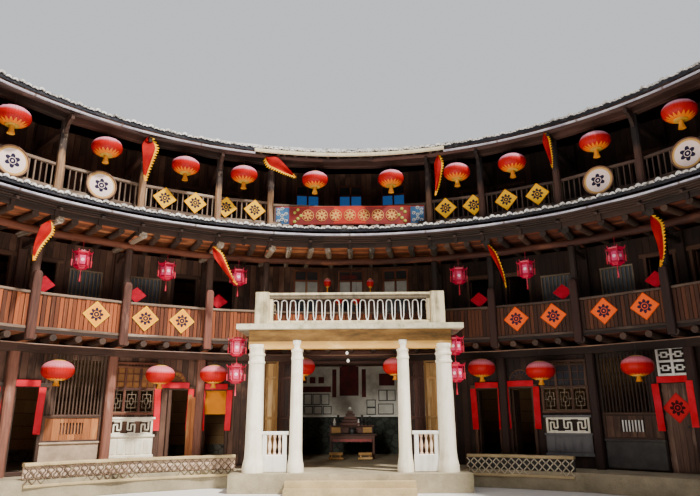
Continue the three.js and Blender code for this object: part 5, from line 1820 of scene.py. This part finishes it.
def build_gate():
    """Plank leaves standing open in the gateway, and the windows of the earth wall."""
    for s, word in zip(SIDES, ("left", "right")):
        low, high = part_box(f"gate_leaf_{word}")
        leaf, count = Shape(80), 5
        place = move(*((a + b) / 2 for a, b in zip(low, high))) @ turn(90, "Z")
        length, tall = high[1] - low[1], high[2] - low[2]
        leaf.posts(place, [length * ((i + 0.5) / count - 0.5) for i in range(count)],
                   tall, length / count - 0.004, 0.045, 0.006)
        leaf.rails(place, (-0.9, 0.0, 0.9), length - 0.06, 0.12, 0.03, 0.008, y=s * 0.03)
        leaf.piece(f"gate_leaf_{word}_planks", "leaf", replaces=[f"gate_leaf_{word}"])
    frames = Marks(82)
    for floor in (FLOOR_2, FLOOR_3):
        for low, high in BAYS:
            frames.add(at(16.6 - 0.3 * (floor + 1.4) / 9.0 - 0.05, (low + high) / 2, floor + 1.41))
    repeat("earth_wall_windows", window_unit(0.56, 0.82, 5), frames, "frame")


def shine(name, kind, place, power, colour, **settings):
    """Adds a light."""
    light = bpy.data.lights.new(name, kind)
    for key, value in {"energy": power, "color": colour, **settings}.items():
        setattr(light, key, value)
    place_object(name, light).matrix_world = place


def build_stage():
    """Camera at the photograph's viewpoint, pale plain floor, and soft studio light."""
    scene = bpy.context.scene
    data = bpy.data.cameras.new("viewpoint")
    data.sensor_width, data.lens, data.clip_end = 36.0, LENS, 400
    scene.camera = place_object("viewpoint", data)
    scene.camera.matrix_world = move(*EYE) @ turn(HEADING, "Z") @ turn(90 + TILT, "X") @ turn(ROLL, "Z")
    floor = Shape(90)
    floor.turned([(0.01, -0.006), (90, -0.006), (90, -0.4), (0.01, -0.4)], 96)
    mesh = floor.mesh("studio_floor")
    finish = Finish("pale plain floor", 0.9)
    cloud = finish.noise(finish.place(), 0.4, 3)
    finish.colour(finish.ramp(cloud, (0.3, "dedcd7"), (0.7, "e6e4df")))
    mesh.materials.append(finish.material)
    place_object("studio_floor", mesh)
    scene.world = bpy.data.worlds.new("studio")
    scene.world.use_nodes = True
    sky = scene.world.node_tree.nodes["Background"].inputs
    sky["Color"].default_value, sky["Strength"].default_value = paint("eef2f8"), 0.85
    shine("studio_sun", "SUN", turn(52, "Z") @ turn(38, "X"), 7.5, (1.0, 0.95, 0.87), angle=radians(4.0))
    shine("courtyard_bounce", "AREA", move(0, -1.0, 0.06) @ turn(180, "X"), 1300, (1.0, 0.92, 0.82), shape="DISK",
          size=12.0)
    stand, aim = Vector((-4.4, -7.6, 5.6)), Vector((-1.6, COLUMN_Y, 2.2))
    shine("portico_softlight", "SPOT", move(*stand) @ (aim - stand).to_track_quat("-Z", "Y").to_matrix().to_4x4(),
          8000, (1.0, 0.96, 0.86), shadow_soft_size=1.2, spot_size=radians(26), spot_blend=0.7)


class RoundhouseSizes(bpy.types.PropertyGroup):
    """Sizes of the repeated pieces."""

    tile_pitch: FloatProperty(
        name="Tile pitch", description="Distance between tile rows along the inner eave", default=0.15, min=0.12,
        subtype="DISTANCE", unit="LENGTH")
    board_width: FloatProperty(
        name="Board width", description="Width of the upright boards of the first balcony", default=0.096, min=0.05,
        subtype="DISTANCE", unit="LENGTH")
    baluster_pitch: FloatProperty(
        name="Baluster pitch", description="Distance between the balusters of the top gallery", default=0.145,
        min=0.08, subtype="DISTANCE", unit="LENGTH")
    lantern_scale: FloatProperty(
        name="Lantern scale", description="Size of the oval lanterns against their usual size", default=1.0, min=0.5,
        max=1.3, subtype="FACTOR")


class RoundhouseColours(bpy.types.PropertyGroup):
    """Colours of the painted pieces."""

    lacquer: FloatVectorProperty(
        name="Lacquer red", description="Red of the lanterns and painted boards", default=paint("b80806")[:3], size=3,
        min=0, max=1, subtype="COLOR")
    limewash: FloatVectorProperty(
        name="Ochre limewash", description="Ochre of the portico's beams", default=paint("c99a4e")[:3], size=3, min=0,
        max=1, subtype="COLOR")
    plaster: FloatVectorProperty(
        name="Lime plaster", description="Plaster of the hall", default=paint("c9c4b8")[:3], size=3, min=0, max=1,
        subtype="COLOR")


class ROUNDHOUSE_OT_walls(bpy.types.Operator):
    """Mix the finishes and lay them on the earth wall and the terrace, with its openwork edge"""

    bl_idname = "roundhouse.walls"
    bl_label = "Earth wall and terrace"

    def execute(self, context):
        F.update(make_finishes(context.scene.roundhouse_colours))
        build_terrace()
        return {"FINISHED"}


class ROUNDHOUSE_OT_roofs(bpy.types.Operator):
    """Lay the tile rows, ridge, gutters, rafters and eave logs"""

    bl_idname = "roundhouse.roofs"
    bl_label = "Tiled roofs"

    def execute(self, context):
        build_roofs(context.scene.roundhouse_sizes)
        return {"FINISHED"}


class ROUNDHOUSE_OT_posts(bpy.types.Operator):
    """Raise the posts, their beams and brackets"""

    bl_idname = "roundhouse.posts"
    bl_label = "Posts and beams"

    def execute(self, context):
        build_posts()
        return {"FINISHED"}


class ROUNDHOUSE_OT_joists(bpy.types.Operator):
    """Lay the round joists, floor boards, skirt timbers and bamboo pole"""

    bl_idname = "roundhouse.joists"
    bl_label = "Joists and floors"

    def execute(self, context):
        build_joists()
        return {"FINISHED"}


class ROUNDHOUSE_OT_balcony(bpy.types.Operator):
    """Board up the first balcony between its short posts"""

    bl_idname = "roundhouse.balcony"
    bl_label = "Boarded balcony"

    def execute(self, context):
        build_balcony(context.scene.roundhouse_sizes)
        return {"FINISHED"}


class ROUNDHOUSE_OT_railing(bpy.types.Operator):
    """Fit the rails and balusters of the top gallery"""

    bl_idname = "roundhouse.railing"
    bl_label = "Top gallery railing"

    def execute(self, context):
        build_railing(context.scene.roundhouse_sizes)
        return {"FINISHED"}


class ROUNDHOUSE_OT_rooms(bpy.types.Operator):
    """Frame the doors and windows of the rooms on all storeys"""

    bl_idname = "roundhouse.rooms"
    bl_label = "Room doors and windows"

    def execute(self, context):
        build_rooms()
        return {"FINISHED"}


class ROUNDHOUSE_OT_fronts(bpy.types.Operator):
    """Fit the lattices, vents, openwork panels and paper strips of the ground storey"""

    bl_idname = "roundhouse.fronts"
    bl_label = "Ground storey fronts"

    def execute(self, context):
        build_fronts()
        return {"FINISHED"}


class ROUNDHOUSE_OT_door(bpy.types.Operator):
    """Hang the plank door on its stile"""

    bl_idname = "roundhouse.door"
    bl_label = "Plank door"

    def execute(self, context):
        build_plank_door()
        return {"FINISHED"}


class ROUNDHOUSE_OT_portico(bpy.types.Operator):
    """Turn the columns and build the portico's beams, slab and looped parapet"""

    bl_idname = "roundhouse.portico"
    bl_label = "Portico"

    def execute(self, context):
        build_portico()
        return {"FINISHED"}


class ROUNDHOUSE_OT_hall(bpy.types.Operator):
    """Fit out the hall with its door leaves, altar table, stools and wall panels"""

    bl_idname = "roundhouse.hall"
    bl_label = "Hall"

    def execute(self, context):
        build_hall()
        return {"FINISHED"}


class ROUNDHOUSE_OT_lanterns(bpy.types.Operator):
    """Hang the oval and six-sided lanterns"""

    bl_idname = "roundhouse.lanterns"
    bl_label = "Lanterns"

    def execute(self, context):
        build_lanterns(context.scene.roundhouse_sizes)
        return {"FINISHED"}


class ROUNDHOUSE_OT_hangings(bpy.types.Operator):
    """Hang the pennants, diamonds, trays and the carved board"""

    bl_idname = "roundhouse.hangings"
    bl_label = "Hangings and signs"

    def execute(self, context):
        build_hangings()
        return {"FINISHED"}


class ROUNDHOUSE_OT_gate(bpy.types.Operator):
    """Plank the gate leaves and frame the windows of the earth wall"""

    bl_idname = "roundhouse.gate"
    bl_label = "Gate and outer windows"

    def execute(self, context):
        build_gate()
        return {"FINISHED"}


class ROUNDHOUSE_OT_stage(bpy.types.Operator):
    """Set the camera, the plain floor and the studio light"""

    bl_idname = "roundhouse.stage"
    bl_label = "Stage"

    def execute(self, context):
        build_stage()
        return {"FINISHED"}


STEPS = (
    ROUNDHOUSE_OT_stage, ROUNDHOUSE_OT_walls, ROUNDHOUSE_OT_roofs, ROUNDHOUSE_OT_posts, ROUNDHOUSE_OT_joists,
    ROUNDHOUSE_OT_balcony, ROUNDHOUSE_OT_railing, ROUNDHOUSE_OT_rooms, ROUNDHOUSE_OT_fronts, ROUNDHOUSE_OT_door,
    ROUNDHOUSE_OT_portico, ROUNDHOUSE_OT_hall, ROUNDHOUSE_OT_lanterns, ROUNDHOUSE_OT_hangings, ROUNDHOUSE_OT_gate,
)


class ROUNDHOUSE_PT_build(bpy.types.Panel):
    """Sizes, colours and build steps of the roundhouse"""

    bl_idname = "ROUNDHOUSE_PT_build"
    bl_label = "Roundhouse"
    bl_space_type = "VIEW_3D"
    bl_region_type = "UI"
    bl_category = "Roundhouse"

    def draw(self, context):
        layout = self.layout
        for group, names in (
                (context.scene.roundhouse_sizes, ("tile_pitch", "board_width", "baluster_pitch", "lantern_scale")),
                (context.scene.roundhouse_colours, ("lacquer", "limewash", "plaster"))):
            box = layout.box()
            for name in names:
                box.prop(group, name)
        for step in STEPS:
            layout.operator(step.bl_idname)


CLASSES = (RoundhouseSizes, RoundhouseColours, *STEPS, ROUNDHOUSE_PT_build)


def register():
    for item in CLASSES:
        bpy.utils.register_class(item)
    bpy.types.Scene.roundhouse_sizes = PointerProperty(type=RoundhouseSizes)
    bpy.types.Scene.roundhouse_colours = PointerProperty(type=RoundhouseColours)


def unregister():
    del bpy.types.Scene.roundhouse_colours
    del bpy.types.Scene.roundhouse_sizes
    for item in reversed(CLASSES):
        bpy.utils.unregister_class(item)


def main():
    """Builds every group of pieces in order."""
    register()
    for step in STEPS:
        getattr(bpy.ops.roundhouse, step.bl_idname.split(".")[1])()


if __name__ == "__main__":
    main()
